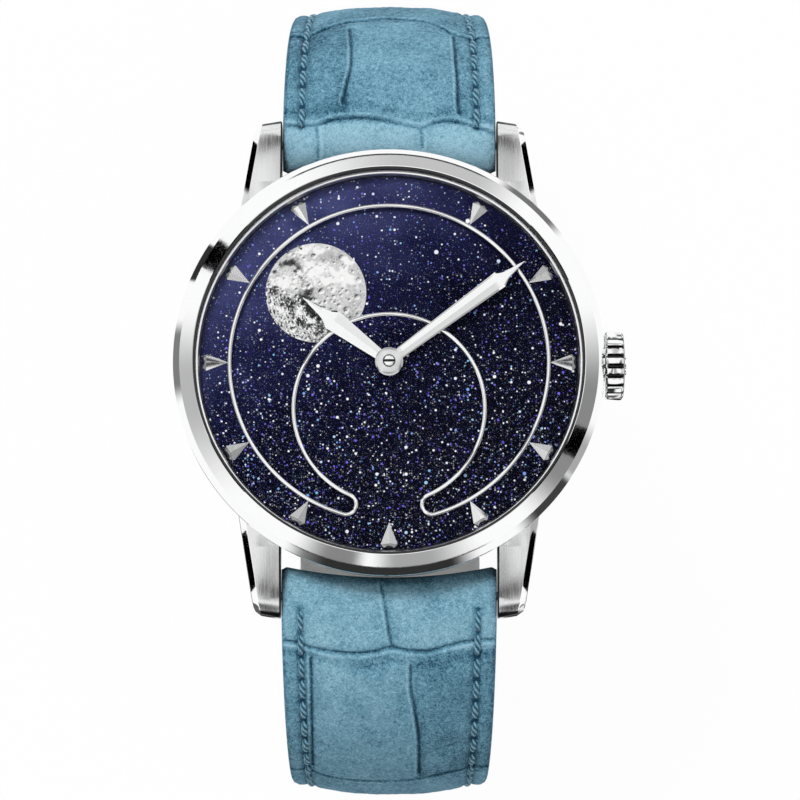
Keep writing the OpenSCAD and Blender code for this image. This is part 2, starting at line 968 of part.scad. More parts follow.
module jewels() {
    color(RUBY) {
        at_each(bridge_jewelled)
            ring(jewel_r, pivot_hole_r, z_train - jewel_t - 0.1, jewel_t);
        at_each(jewelled)
            ring(jewel_r, pivot_hole_r, z_plate + 0.1, jewel_t);
    }
}

module movement_screws() {
    color(STEEL)
        at_each(concat(barrel_pillars, train_pillars, [cock_foot]))
            difference() {
                union() {
                    rod([0, 0], screw_head_r, z_bridge + 0.05, 0.3);
                    rod([0, 0], screw_r, z_bridge + 0.05, z_plate - z_bridge + 0.2);
                }
                translate([-1, -0.08, z_bridge])
                    cube([2, 0.16, 0.15]);
            }
}

// Winding work, barrel and going train

// Arbor of a wheel, with a thin pivot at each end
module arbor(z0, z1) {
    rod([0, 0], arbor_r, z0 + slack, z1 - z0 - 2 * slack);
    rod([0, 0], pivot_hole_r - run_gap, z0 - 0.4, z1 - z0 + 0.8);
}

module winding_pinion() {
    r = stem_z - z_winding - winding_t - 0.1;
    m = 2 * r / (winding_leaves + 1.8);
    color(STEEL)
        difference() {
            translate([winding_x - 0.35, 0, stem_z])
                rotate([0, 90, 0])
                    pinion(winding_leaves, m, 0.8, 0);
            along_x(winding_x - 2, winding_x + 2, stem_r + run_gap, stem_z);
        }
}

module crown_wheel() {
    r = crown_wheel_teeth * winding_m / 2;
    color(STEEL)
        translate([crown_wheel_at[0], crown_wheel_at[1], 0])
            union() {
                translate([0, 0, z_winding])
                    pinion(crown_wheel_teeth, winding_m, winding_t, 0);
                // Face teeth that the winding pinion turns
                for (i = [0:crown_wheel_teeth - 1])
                    rotate((i + 0.5) * 360 / crown_wheel_teeth)
                        translate([r - 0.5, -0.09, z_winding + winding_t - slack])
                            cube([0.35, 0.18, 0.2 + slack]);
                rod([0, 0], 0.4 - run_gap, z_bridge + 0.35, z_winding - z_bridge - 0.3);
            }
}

module ratchet_wheel() {
    to_barrel = barrel_at - crown_wheel_at;
    color(STEEL)
        translate([barrel_at[0], barrel_at[1], 0])
            union() {
                translate([0, 0, z_winding])
                    pinion(ratchet_teeth, winding_m, winding_t,
                        mesh(atan2(to_barrel[1], to_barrel[0]), crown_wheel_teeth, 0, ratchet_teeth));
                rod([0, 0], 0.5, z_bridge + 0.35, z_plate + 0.25 - z_bridge - 0.35);
            }
}

module mainspring_barrel() {
    r = barrel_teeth * barrel_m / 2;
    color(BRASS)
        translate([barrel_at[0], barrel_at[1], 0])
            difference() {
                union() {
                    translate([0, 0, z_barrel])
                        linear_extrude(0.3)
                            rotate(mesh(barrel_angle, centre_leaves, 0, barrel_teeth))
                                polygon(tooth_outline(barrel_teeth, barrel_m));
                    rod([0, 0], r - 0.35, z_barrel, barrel_top - z_barrel);
                }
                rod([0, 0], 0.5 + run_gap, z_barrel - 1, 4);
                // Space for the mainspring
                ring(r - 0.75, 0.9, z_barrel + 0.12, barrel_top - z_barrel - 0.24);
            }
}

// Wheel and pinion on one arbor, with its pinion turned into mesh
module train_wheel(at, teeth, m, z, leaves, leaf_m, leaf_z, leaf_l, turned) {
    color(BRASS)
        translate([at[0], at[1], 0])
            union() {
                translate([0, 0, z])
                    wheel(teeth, m, wheel_t, leaves * leaf_m, 5, 0);
                translate([0, 0, leaf_z])
                    pinion(leaves, leaf_m, leaf_l, turned);
                arbor(z_train, z_plate);
            }
}

module centre_wheel() {
    low = z_barrel - 0.1;
    color(BRASS)
        union() {
            translate([0, 0, z_centre])
                wheel(centre_teeth, centre_m, wheel_t, 1, 5, 0);
            translate([0, 0, low])
                pinion(centre_leaves, barrel_m, z_centre - low + slack, 0);
            rod([0, 0], arbor_r, z_train + slack, z_minute - z_train - 0.4);
            rod([0, 0], pivot_hole_r - run_gap, z_train - 0.4, 1);
        }
}

module third_wheel() {
    train_wheel(third_at, third_teeth, third_m, z_third, third_leaves, centre_m, z_centre - 0.1, 0.3,
        mesh(third_angle, centre_teeth, 0, third_leaves));
}

module fourth_wheel() {
    train_wheel(fourth_at, fourth_teeth, fourth_m, z_fourth, fourth_leaves, third_m, z_third - 0.1, 0.35,
        mesh(fourth_angle, third_teeth, 0, fourth_leaves));
}

module escape_wheel() {
    step = 360 / escape_teeth;
    color(STEEL)
        translate([escape_at[0], escape_at[1], 0])
            union() {
                translate([0, 0, z_escape])
                    linear_extrude(0.12)
                        difference() {
                            polygon([
                                for (i = [0:escape_teeth - 1])
                                    for (p = [[0.8, 0], [1, 0.3], [0.97, 0.44], [0.8, 0.3]])
                                        turn(escape_r * p[0], (i + p[1]) * step)
                            ]);
                            difference() {
                                circle(escape_r * 0.68);
                                circle(0.5);
                                for (i = [0:3])
                                    rotate(i * 90)
                                        translate([0, -0.12])
                                            square([escape_r * 0.75, 0.24]);
                            }
                        }
                translate([0, 0, z_fourth - 0.1])
                    pinion(escape_leaves, fourth_m, 0.35,
                        mesh(escape_angle, fourth_teeth, 0, escape_leaves));
                arbor(z_train, z_plate);
            }
}

module pallet_fork() {
    to_escape = escape_at - pallet_at;
    heading = atan2(to_escape[1], to_escape[0]);
    arm_r = norm(to_escape) - escape_r - 0.05;
    color(STEEL)
        translate([pallet_at[0], pallet_at[1], 0])
            union() {
                translate([0, 0, z_escape])
                    linear_extrude(0.12)
                        union() {
                            circle(0.4);
                            // Lever to the balance, with a slot for the impulse pin
                            difference() {
                                polygon([
                                    [0, -0.14], [2, -0.14], [2.05, -0.24], [2.33, -0.24],
                                    [2.33, 0.24], [2.05, 0.24], [2, 0.14], [0, 0.14]
                                ]);
                                translate([2.12, -0.11])
                                    square([1, 0.22]);
                            }
                            // Arms beside the escape wheel
                            rotate(heading)
                                for (side = [-1, 1])
                                    polygon([
                                        [-0.2, 0], [arm_r - 0.1, side * 1.4], [arm_r + 0.1, side * 1.3],
                                        [arm_r - 0.15, side * 0.8], [0.25, 0]
                                    ]);
                        }
                // Short arbor in the plate alone, because the balance's spokes sweep below it
                rod([0, 0], arbor_r, z_escape - 0.05, z_plate - z_escape);
                rod([0, 0], pivot_hole_r - run_gap, z_escape, z_plate - z_escape + 0.4);
            }
}

balance_r = 3.2;
balance_t = 0.25;
roller_r = 0.28;

module balance_wheel() {
    color(BRASS)
        translate([balance_at[0], balance_at[1], 0])
            union() {
                translate([0, 0, z_balance])
                    linear_extrude(balance_t)
                        union() {
                            difference() {
                                circle(balance_r);
                                circle(balance_r - 0.4);
                            }
                            circle(0.6);
                            for (i = [0:2])
                                rotate(i * 120)
                                    translate([0, -0.2])
                                        square([balance_r - 0.2, 0.4]);
                        }
                rod([0, 0], roller_r, z_escape - 0.2, 0.15);
                rod([-0.19, 0], 0.07, z_escape - 0.2, 0.35);
                rod([0, 0], 0.35, z_train + 0.07, z_balance - z_train);
                arbor(z_train, z_plate);
            }
}

module hairspring() {
    turns = 7;
    steps = turns * 24;
    inner = 0.4;
    pitch = 0.25;
    strip = 0.05;
    color(STEEL)
        translate([balance_at[0], balance_at[1], z_train + 0.1])
            linear_extrude(0.14)
                polygon(concat(
                    [for (i = [0:steps]) turn(inner + pitch * i / 24, i * 15)],
                    [for (i = [steps:-1:0]) turn(inner + strip + pitch * i / 24, i * 15)]
                ));
}

module rotor() {
    reach = movement_r - 0.7;
    color(STEEL)
        translate([0, 0, z_rotor])
            difference() {
                union() {
                    linear_extrude(rotor_t / 2)
                        difference() {
                            circle(reach);
                            translate([-reach, 0.6])
                                square(2 * reach);
                        }
                    linear_extrude(rotor_t)
                        difference() {
                            circle(reach);
                            circle(reach - 2);
                            translate([-reach, 0.6])
                                square(2 * reach);
                        }
                    cylinder(r = 2, h = rotor_t);
                }
                translate([0, 0, -1])
                    cylinder(r = 0.9 + run_gap, h = 4);
            }
}

// Strap

// How far below level the strap starts
dip = 5;
lug_arc_r = (strap_reach - bar_y) / (1 - sin(dip));
z_side = bar_z - lug_arc_r * cos(dip);
// The tail lies outside the short piece and its keepers
tail_loop_r = loop_r + tail_t + keeper_room + keeper_t + 0.3;
lug_arc_l = lug_arc_r * (90 - dip) * PI / 180;
degrees = 180 / PI;
buckle_end_r = 1.4;
tip_l = 9;
lining_start = 2.2;

// Middle of the strap at length s from its spring bar, in a loop whose bottom has radius r:
// distance from the watch's middle, height, and heading below level
function strap_at(s, r) =
    let (
        side_l = lug_arc_l + r * PI / 2,
        flat_l = side_l + 2 * strap_reach - r - loop_r,
        a = s < 0 ? dip
            : s < lug_arc_l ? dip + s / lug_arc_r * degrees
            : s < side_l ? 90 + (s - lug_arc_l) / r * degrees
            : s < flat_l ? 180
            : 180 + (s - flat_l) / r * degrees
    )
    s < 0 ? [bar_y + s * cos(dip), bar_z - s * sin(dip), a]
    : s < lug_arc_l ? [bar_y + lug_arc_r * (sin(a) - sin(dip)), bar_z + lug_arc_r * (cos(a) - cos(dip)), a]
    : s < side_l ? [strap_reach + r * (sin(a) - 1), z_side + r * cos(a), a]
    : s < flat_l ? [strap_reach - r - (s - side_l), z_side - r, a]
    : [loop_r - strap_reach + r * sin(a), z_side + r * cos(a), a];

function ease(x) = x <= 0 ? 0 : x >= 1 ? 1 : x * x * (3 - 2 * x);

// Thickness of the strap away from its ends
function body_t(s) =
    2 * end_r + (pad_t - 2 * end_r) * ease(s / 8) - (pad_t - tail_t) * ease((s - 24) / 30);
function strap_t(s) = s < 0 ? 2 * sqrt(max(0.01, pow(end_r, 2) - s * s)) : body_t(s);
// Width of the strap
function strap_width(s) = strap_w - 0.2 - (strap_w - 0.2 - tail_w) * ease((s - 3) / 55);
// How far the padded face falls from its middle to its edges
function face_drop(s) = s < 0 ? 0.1 : 0.1 + 0.85 * ease(s / 8) * (body_t(s) - tail_t) / (pad_t - tail_t);

// Point of a strap's section: u across from -1 to 1, n out from its middle
function strap_point(s, r, w, u, n) =
    let (p = strap_at(s, r)) [u * w / 2, p[0] + n * sin(p[2]), p[1] + n * cos(p[2])];

across = [-0.97, -0.9, -0.72, -0.48, -0.24, 0, 0.24, 0.48, 0.72, 0.9, 0.97];

// Closed section of the leather: crowned face, flat underside at height low
function leather_loop(s, r, w, t, low, drop) = concat(
    [strap_point(s, r, w, -1, t / 2 - drop - 0.25)],
    [for (u = across) strap_point(s, r, w, u, t / 2 - drop * pow(abs(u), 3) - (abs(u) > 0.95 ? 0.08 : 0))],
    [strap_point(s, r, w, 1, t / 2 - drop - 0.25)],
    [strap_point(s, r, w, 1, low), strap_point(s, r, w, -1, low)]
);

function lining_loop(s, r, w, t) = [
    strap_point(s, r, w - 0.1, -1, lining_t - t / 2), strap_point(s, r, w - 0.1, 1, lining_t - t / 2),
    strap_point(s, r, w - 0.1, 1, 0.35 - t / 2), strap_point(s, r, w - 0.5, 1, -t / 2),
    strap_point(s, r, w - 0.5, -1, -t / 2), strap_point(s, r, w - 0.1, -1, 0.35 - t / 2)
];

near_bar = [for (a = [-75:25:-25]) end_r * sin(a)];

// Short piece: thickness near the buckle's bar, where the leather turns round it
function short_t(s) =
    s > short_l ? 2 * sqrt(max(0.01, pow(buckle_end_r, 2) - pow(s - short_l, 2)))
    : strap_t(s) + (2 * buckle_end_r - tail_t) * ease((s - short_l + 4) / 4);
function short_low(s) = s > lining_start && s < short_l - 4 ? lining_t - short_t(s) / 2 : -short_t(s) / 2;

buckle_at = strap_at(short_l, loop_r);

module strap_12_leather() {
    color(BLUE)
        difference() {
            loft([
                for (s = short_stations)
                    leather_loop(s, loop_r, strap_width(s), short_t(s), short_low(s), face_drop(s))
            ]);
            translate([0, bar_y, 0])
                along_x(-strap_w, strap_w, bar_r + slack, bar_z);
            translate([0, buckle_at[0], 0])
                along_x(-strap_w, strap_w, buckle_bar_r, buckle_at[1]);
            // Slot for the tongue
            translate([-tongue_w / 2 - 0.4, buckle_at[0] - 3, buckle_at[1] - 3])
                cube([tongue_w + 0.8, 5, 6]);
        }
}

short_stations = concat(
    near_bar, [0, 1, lining_start, lining_start + 0.02], [for (s = [4:2.5:short_l - 5]) s],
    [short_l - 4.02, short_l - 4, short_l - 2, short_l],
    [for (a = [25:25:75]) short_l + buckle_end_r * sin(a)]
);

module strap_12_lining() {
    color(PALE_BLUE)
        loft([
            for (s = concat([lining_start + 0.05], [for (s = [4:2.5:short_l - 5]) s], [short_l - 4.1]))
                lining_loop(s, loop_r, strap_width(s), short_t(s))
        ]);
}

long_stations = concat(
    near_bar, [0, 1, lining_start, lining_start + 0.02], [for (s = [4:2.5:long_l - tip_l - 1]) s],
    [for (a = [0:15:75]) long_l - tip_l + tip_l * sin(a)], [long_l - 0.05]
);

// Width of the long piece, which narrows to a rounded tip
function long_width(s) =
    strap_width(s) * (s < long_l - tip_l ? 1 : sqrt(max(0.02, 1 - pow((s - long_l + tip_l) / tip_l, 2))));

// Punched holes, square to the strap
module strap_holes() {
    for (i = [0:6]) {
        p = strap_at(long_l - 27 - i * hole_pitch, tail_loop_r);
        translate([0, p[0], p[1]])
            rotate([-p[2], 0, 0])
                cylinder(r = hole_w / 2, h = 6, center = true, $fn = 32);
    }
}

module strap_6_leather() {
    color(BLUE)
        mirror([0, 1, 0])
            difference() {
                loft([
                    for (s = long_stations)
                        leather_loop(
                            s, tail_loop_r, long_width(s), strap_t(s),
                            (s > lining_start ? lining_t : 0) - strap_t(s) / 2, face_drop(s)
                        )
                ]);
                translate([0, bar_y, 0])
                    along_x(-strap_w, strap_w, bar_r + slack, bar_z);
                strap_holes();
            }
}

module strap_6_lining() {
    color(PALE_BLUE)
        mirror([0, 1, 0])
            difference() {
                loft([
                    for (s = [for (s = long_stations) if (s > lining_start + 0.01) s])
                        lining_loop(s, tail_loop_r, long_width(s), strap_t(s))
                ]);
                strap_holes();
            }
}

// Outline of a rectangle with round corners
function rounded(w, h, r) = concat(
    arc([w / 2 - r, h / 2 - r], r, 0, 90, 6), arc([r - w / 2, h / 2 - r], r, 90, 180, 6),
    arc([r - w / 2, r - h / 2], r, 180, 270, 6), arc([w / 2 - r, r - h / 2], r, 270, 360, 6)
);

keeper_fixed_y = buckle_at[0] + 3.2 + keeper_w / 2;
keeper_free_y = keeper_fixed_y + keeper_w + 1.4;

// Leather loop round the strap, with room for the tail outside it
module keeper(y) {
    inside_w = tail_w + 0.5;
    inside_h = tail_t + keeper_room + 0.1;
    middle = buckle_at[1] + (0.1 - keeper_room) / 2;
    color(BLUE)
        translate([0, y + keeper_w / 2, middle])
            rotate([90, 0, 0])
                linear_extrude(keeper_w)
                    difference() {
                        polygon(rounded(inside_w + 2 * keeper_t, inside_h + 2 * keeper_t, 1.2));
                        polygon(rounded(inside_w, inside_h, 0.5));
                    }
}

module keeper_fixed() {
    keeper(keeper_fixed_y);
}

module keeper_free() {
    keeper(keeper_free_y);
}

// Buckle

frame_in = tail_w / 2 + 0.3;
frame_out = frame_in + buckle_rim;

module at_buckle() {
    translate([0, buckle_at[0], buckle_at[1]])
        children();
}

module buckle_bar() {
    color(STEEL)
        at_buckle()
            along_x(-frame_out, frame_out, buckle_bar_r, 0);
}

module buckle_frame() {
    inner_l = buckle_l - buckle_rim;
    color(SILVER)
        at_buckle()
            difference() {
                union() {
                    translate([0, 0, -buckle_t / 2])
                        linear_extrude(buckle_t)
                            difference() {
                                translate([0, -buckle_l / 2])
                                    polygon(rounded(2 * frame_out, buckle_l, 2.6));
                                translate([0, -inner_l / 2])
                                    polygon(rounded(2 * frame_in, inner_l, 1));
                                translate([-frame_out - 1, -1.2 - buckle_l * 0.15])
                                    square([2 * frame_out + 2, buckle_l]);
                            }
                    for (side = [-1, 1])
                        translate([side * (frame_in + buckle_rim / 2), 0, 0]) {
                            along_x(-buckle_rim / 2, buckle_rim / 2, buckle_t / 2, 0);
                            translate([-buckle_rim / 2, -buckle_l * 0.15 - 1.21, -buckle_t / 2])
                                cube([buckle_rim, buckle_l * 0.15 + 1.21, buckle_t]);
                        }
                }
                along_x(-frame_out - 1, frame_out + 1, buckle_bar_r + run_gap, 0);
                // Rest for the tongue's tip
                translate([-tongue_w / 2 - 0.1, -buckle_l - 1, -buckle_t / 2 - 1])
                    cube([tongue_w + 0.2, buckle_rim + 2, 1.25]);
            }
}

module buckle_tongue() {
    eye_r = buckle_bar_r + 0.55;
    rest = 0.27 - buckle_t / 2;
    color(SILVER)
        at_buckle()
            difference() {
                union() {
                    along_x(-tongue_w / 2, tongue_w / 2, eye_r, 0);
                    translate([-tongue_w / 2, 0, 0])
                        rotate([90, 0, 90])
                            linear_extrude(tongue_w)
                                polygon([
                                    [0, -0.3], [-3, -0.4], [buckle_rim - buckle_l, rest - 0.04],
                                    [-buckle_l, rest - 0.04], [-buckle_l - 0.1, rest - 0.5],
                                    [buckle_rim - buckle_l, rest - tongue_t], [-3, -0.5 - tongue_t],
                                    [0, -eye_r]
                                ]);
                }
                along_x(-tongue_w, tongue_w, buckle_bar_r + run_gap, 0);
            }
}

mid_case();
bezel();
crystal();
crystal_gasket();
rehaut_ring();
dial_plate();
aperture_frame();
hour_markers();
casing_ring();
main_plate();
barrel_bridge();
train_bridge();
balance_cock();
jewels();
movement_screws();
case_back();
case_back_window();
case_back_gasket();
crown_tube();
spring_bar_12();
spring_bar_6();
bar_pivot_12_left();
bar_pivot_12_right();
bar_pivot_6_left();
bar_pivot_6_right();
strap_12_leather();
strap_12_lining();
strap_6_leather();
strap_6_lining();
keeper_fixed();
keeper_free();
buckle_bar();
buckle_frame();
buckle_tongue();
minute_hand();
hand_cap();
cannon_pinion();
hour_hand();
hour_wheel();
minute_wheel();
moon_finger_wheel();
moon_disc();
moon();
moon_star();
moon_jumper();
crown();
winding_stem();
crown_gasket();
winding_pinion();
crown_wheel();
ratchet_wheel();
mainspring_barrel();
centre_wheel();
third_wheel();
fourth_wheel();
escape_wheel();
pallet_fork();
balance_wheel();
hairspring();
rotor();
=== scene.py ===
"""Looks of a moon phase wristwatch on a padded blue leather strap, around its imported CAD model."""

import math

import bmesh
import bpy
import numpy as np
from mathutils import Matrix, Vector


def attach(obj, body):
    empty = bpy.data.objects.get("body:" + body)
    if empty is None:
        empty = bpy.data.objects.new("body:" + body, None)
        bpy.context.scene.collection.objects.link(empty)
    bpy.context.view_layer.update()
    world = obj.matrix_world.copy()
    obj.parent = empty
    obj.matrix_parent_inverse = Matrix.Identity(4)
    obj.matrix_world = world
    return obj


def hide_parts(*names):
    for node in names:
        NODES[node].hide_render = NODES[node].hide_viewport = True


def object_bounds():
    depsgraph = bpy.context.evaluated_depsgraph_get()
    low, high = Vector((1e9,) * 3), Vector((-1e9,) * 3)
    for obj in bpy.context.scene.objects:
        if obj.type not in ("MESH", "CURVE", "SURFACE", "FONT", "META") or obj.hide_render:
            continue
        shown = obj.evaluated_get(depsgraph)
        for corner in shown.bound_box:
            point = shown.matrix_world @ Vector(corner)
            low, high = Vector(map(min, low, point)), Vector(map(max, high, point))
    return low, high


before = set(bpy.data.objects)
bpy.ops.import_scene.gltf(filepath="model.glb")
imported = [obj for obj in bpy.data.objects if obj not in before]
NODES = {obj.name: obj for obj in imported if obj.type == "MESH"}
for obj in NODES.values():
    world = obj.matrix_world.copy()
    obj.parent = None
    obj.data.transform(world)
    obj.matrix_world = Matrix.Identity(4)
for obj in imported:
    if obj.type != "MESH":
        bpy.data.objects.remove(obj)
CAD_LOW, CAD_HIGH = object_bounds()
MM = 0.001
rng = np.random.default_rng(12)

# Sizes of the case, dial and hands in mm, as in the CAD source
CASE_R = 19.4
CASE_TOP = 8.3
BEZEL_R = 20.0
BEZEL_TOP = 9.75
BORE_R = 17.2
DIAL_SEAT_R = 18.35
Z_DIAL = 7.35
DIAL_TOP = 7.7
DIAL_R = 17.45
FLANGE_TOP = 8.85
CRYSTAL_R = 17.9
CRYSTAL_DOME = 1.0
STEM_Z = 5.6
CROWN_X = 20.05
CROWN_R = 3.2
CROWN_L = 1.85
CROWN_FLUTES = 20
STRAP_W = 20.0
LUG_SPAN = 46.8
LUG_ROOT_W = 3.7
LUG_TIP_W = 2.45
LUG_ROOT_Y = 15.5
LUG_SLANT_Y = 21.9
LUG_BEVEL = 0.7
BEVEL_W = 0.55
APERTURE_R = 14.6
SHADE_R = 9.06
SHADE_DROP = 4.3
HORN_R = 0.75
MOON_R = 4.67
MOON_ORBIT = 9.5
MOON_ANGLE = 45.7
MOON_BOTTOM = 7.15
MOON_T = 0.1
HOUR = {
    "z": 8.05, "turn": 53.1, "length": 10.0, "width": 2.0, "neck": 0.9, "shoulder": 0.665, "hole": 0.9,
}
MINUTE = {
    "z": 8.5, "turn": -53.3, "length": 15.65, "width": 1.65, "neck": 1.0, "shoulder": 0.82, "hole": 0.5,
}
BOSS_R = 1.29
HAND_T = 0.3

# Sizes of the strap and buckle in mm, as in the CAD source
BAR_Y = 21.3
BAR_Z = 3.6
STRAP_REACH = 36.0
SHORT_L = 73.5
LONG_L = 115.0
TIP_L = 9.0
TAIL_W = 18.0
PAD_T = 4.4
TAIL_T = 2.3
END_R = 1.75
LINING_T = 0.9
LINING_START = 2.2
LOOP_R = 20.0
KEEPER_ROOM = 2.7
KEEPER_W = 5.0
KEEPER_T = 0.8
TAIL_LOOP_R = LOOP_R + TAIL_T + KEEPER_ROOM + KEEPER_T + 0.3
BUCKLE_END_R = 1.4
HOLE_W = 2.0
HOLE_PITCH = 6.0
TONGUE_W = 1.8


# Materials


def join(tree, kind, inputs=(), **settings):
    """Adds a node. Inputs are (socket, value or another node's output)."""
    made = tree.nodes.new(kind)
    for key, value in settings.items():
        setattr(made, key, value)
    for socket, value in inputs:
        if isinstance(value, bpy.types.NodeSocket):
            tree.links.new(value, made.inputs[socket])
        else:
            made.inputs[socket].default_value = value
    return made


def drive(shader, socket, value):
    """Links a node's output to one of the shader's sockets."""
    shader.id_data.links.new(value, shader.inputs[socket])


def ramp(tree, value, *stops):
    """Colour at value between stops, each a place and a colour, the last one the highest."""
    made = join(tree, "ShaderNodeValToRGB", [(0, value)])
    elements = made.color_ramp.elements
    for index in (0, -1):
        place, colour = stops[index]
        elements[index].position, elements[index].color = place, (*colour, 1)
    for place, colour in stops[1:-1]:
        elements.new(place).color = (*colour, 1)
    return made.outputs[0]


def material(name, colour, roughness, metallic=0.0, **sockets):
    """A new material with one shader. Sockets are written with _ for a space."""
    made = bpy.data.materials.new(name)
    made.use_nodes = True
    tree = made.node_tree
    shader = tree.nodes["Principled BSDF"]
    shader.inputs["Base Color"].default_value = (*colour, 1)
    shader.inputs["Roughness"].default_value = roughness
    shader.inputs["Metallic"].default_value = metallic
    for socket, value in sockets.items():
        shader.inputs[socket.replace("_", " ")].default_value = value
    return made, tree, shader


def coordinates(tree, scale, turn=(0, 0, 0)):
    """Object coordinates in mm times scale."""
    where = join(tree, "ShaderNodeTexCoord").outputs["Object"]
    size = tuple(1000 * s for s in scale)
    return join(
        tree, "ShaderNodeMapping", [("Vector", where), ("Scale", size), ("Rotation", turn)]
    ).outputs["Vector"]


def noise(tree, vector, scale=1.0, detail=2.0, roughness=0.5, distortion=0.0):
    inputs = [("Vector", vector), ("Scale", scale), ("Detail", detail)]
    inputs += [("Roughness", roughness), ("Distortion", distortion)]
    return join(tree, "ShaderNodeTexNoise", inputs).outputs["Fac"]


def span(tree, value, low, high, to_low=0.0, to_high=1.0, smooth=False):
    """Value from low..high taken to to_low..to_high, and held there."""
    return join(
        tree,
        "ShaderNodeMapRange",
        [(0, value), (1, low), (2, high), (3, to_low), (4, to_high)],
        interpolation_type="SMOOTHSTEP" if smooth else "LINEAR",
    ).outputs[0]


def blend_colours(tree, fac, a, b, mode="MIX"):
    made = join(tree, "ShaderNodeMix", data_type="RGBA", blend_type=mode)
    for index, value in ((0, fac), (6, a), (7, b)):
        if isinstance(value, bpy.types.NodeSocket):
            tree.links.new(value, made.inputs[index])
        else:
            made.inputs[index].default_value = value if index == 0 else (*value, 1)
    return made.outputs[2]


def maths(tree, operation, a, b=0.0):
    return join(tree, "ShaderNodeMath", [(0, a), (1, b)], operation=operation).outputs[0]


def bump(tree, shader, height, distance):
    """Relief of that many mm."""
    inputs = [("Height", height), ("Distance", distance * MM)]
    drive(shader, "Normal", join(tree, "ShaderNodeBump", inputs).outputs["Normal"])


def dimmed(colour, share):
    return tuple(c * share for c in colour)


def metal(name, colour, roughness, grain, grain_scale, relief):
    """Metal with a grain: how far it moves roughness and colour, its scale along x, y, z, and its relief."""
    made, tree, shader = material(name, colour, roughness, 1.0)
    lines = noise(tree, coordinates(tree, grain_scale), detail=3.0, roughness=0.6)
    drive(shader, "Roughness", span(tree, lines, 0.3, 0.7, max(0.02, roughness - grain), roughness + grain))
    dark = dimmed(colour, 1 - 0.9 * grain)
    drive(shader, "Base Color", blend_colours(tree, span(tree, lines, 0.25, 0.6), dark, colour))
    bump(tree, shader, lines, relief)
    return made


def striped_metal(name, colour, pitch):
    """Bridges with straight ribs, each cut by one pass of the tool."""
    made, tree, shader = material(name, colour, 0.22, 1.0)
    turn = (0, 0, math.radians(35))
    where = coordinates(tree, (1, 1, 1), turn)
    x = join(tree, "ShaderNodeSeparateXYZ", [(0, where)]).outputs[0]
    saw = maths(tree, "FRACT", maths(tree, "DIVIDE", x, pitch))
    grain = noise(tree, coordinates(tree, (40, 1.2, 1), turn))
    drive(shader, "Roughness", span(tree, grain, 0.3, 0.7, 0.14, 0.3))
    ribs = maths(tree, "POWER", saw, 2.0)
    shade = span(tree, ribs, 0, 1, 0.72, 1.0)
    tint = join(tree, "ShaderNodeCombineColor", [(0, shade), (1, shade), (2, shade)]).outputs[0]
    drive(shader, "Base Color", blend_colours(tree, 1.0, tint, colour, "MULTIPLY"))
    bump(tree, shader, maths(tree, "ADD", ribs, maths(tree, "MULTIPLY", grain, 0.2)), 0.03)
    return made


def turned_metal(name, colour, roughness):
    """Metal turned on a lathe: fine rings about the watch's axis."""
    made, tree, shader = material(name, colour, roughness, 1.0)
    where = coordinates(tree, (1, 1, 0))
    r = join(tree, "ShaderNodeVectorMath", [(0, where)], operation="LENGTH").outputs[1]
    ring_at = join(tree, "ShaderNodeCombineXYZ", [(0, maths(tree, "MULTIPLY", r, 22.0))]).outputs[0]
    rings = noise(tree, ring_at, detail=3.0)
    drive(shader, "Roughness", span(tree, rings, 0.3, 0.7, roughness - 0.07, roughness + 0.1))
    dark = dimmed(colour, 0.8)
    drive(shader, "Base Color", blend_colours(tree, span(tree, rings, 0.2, 0.7), dark, colour))
    bump(tree, shader, rings, 0.006)
    return made


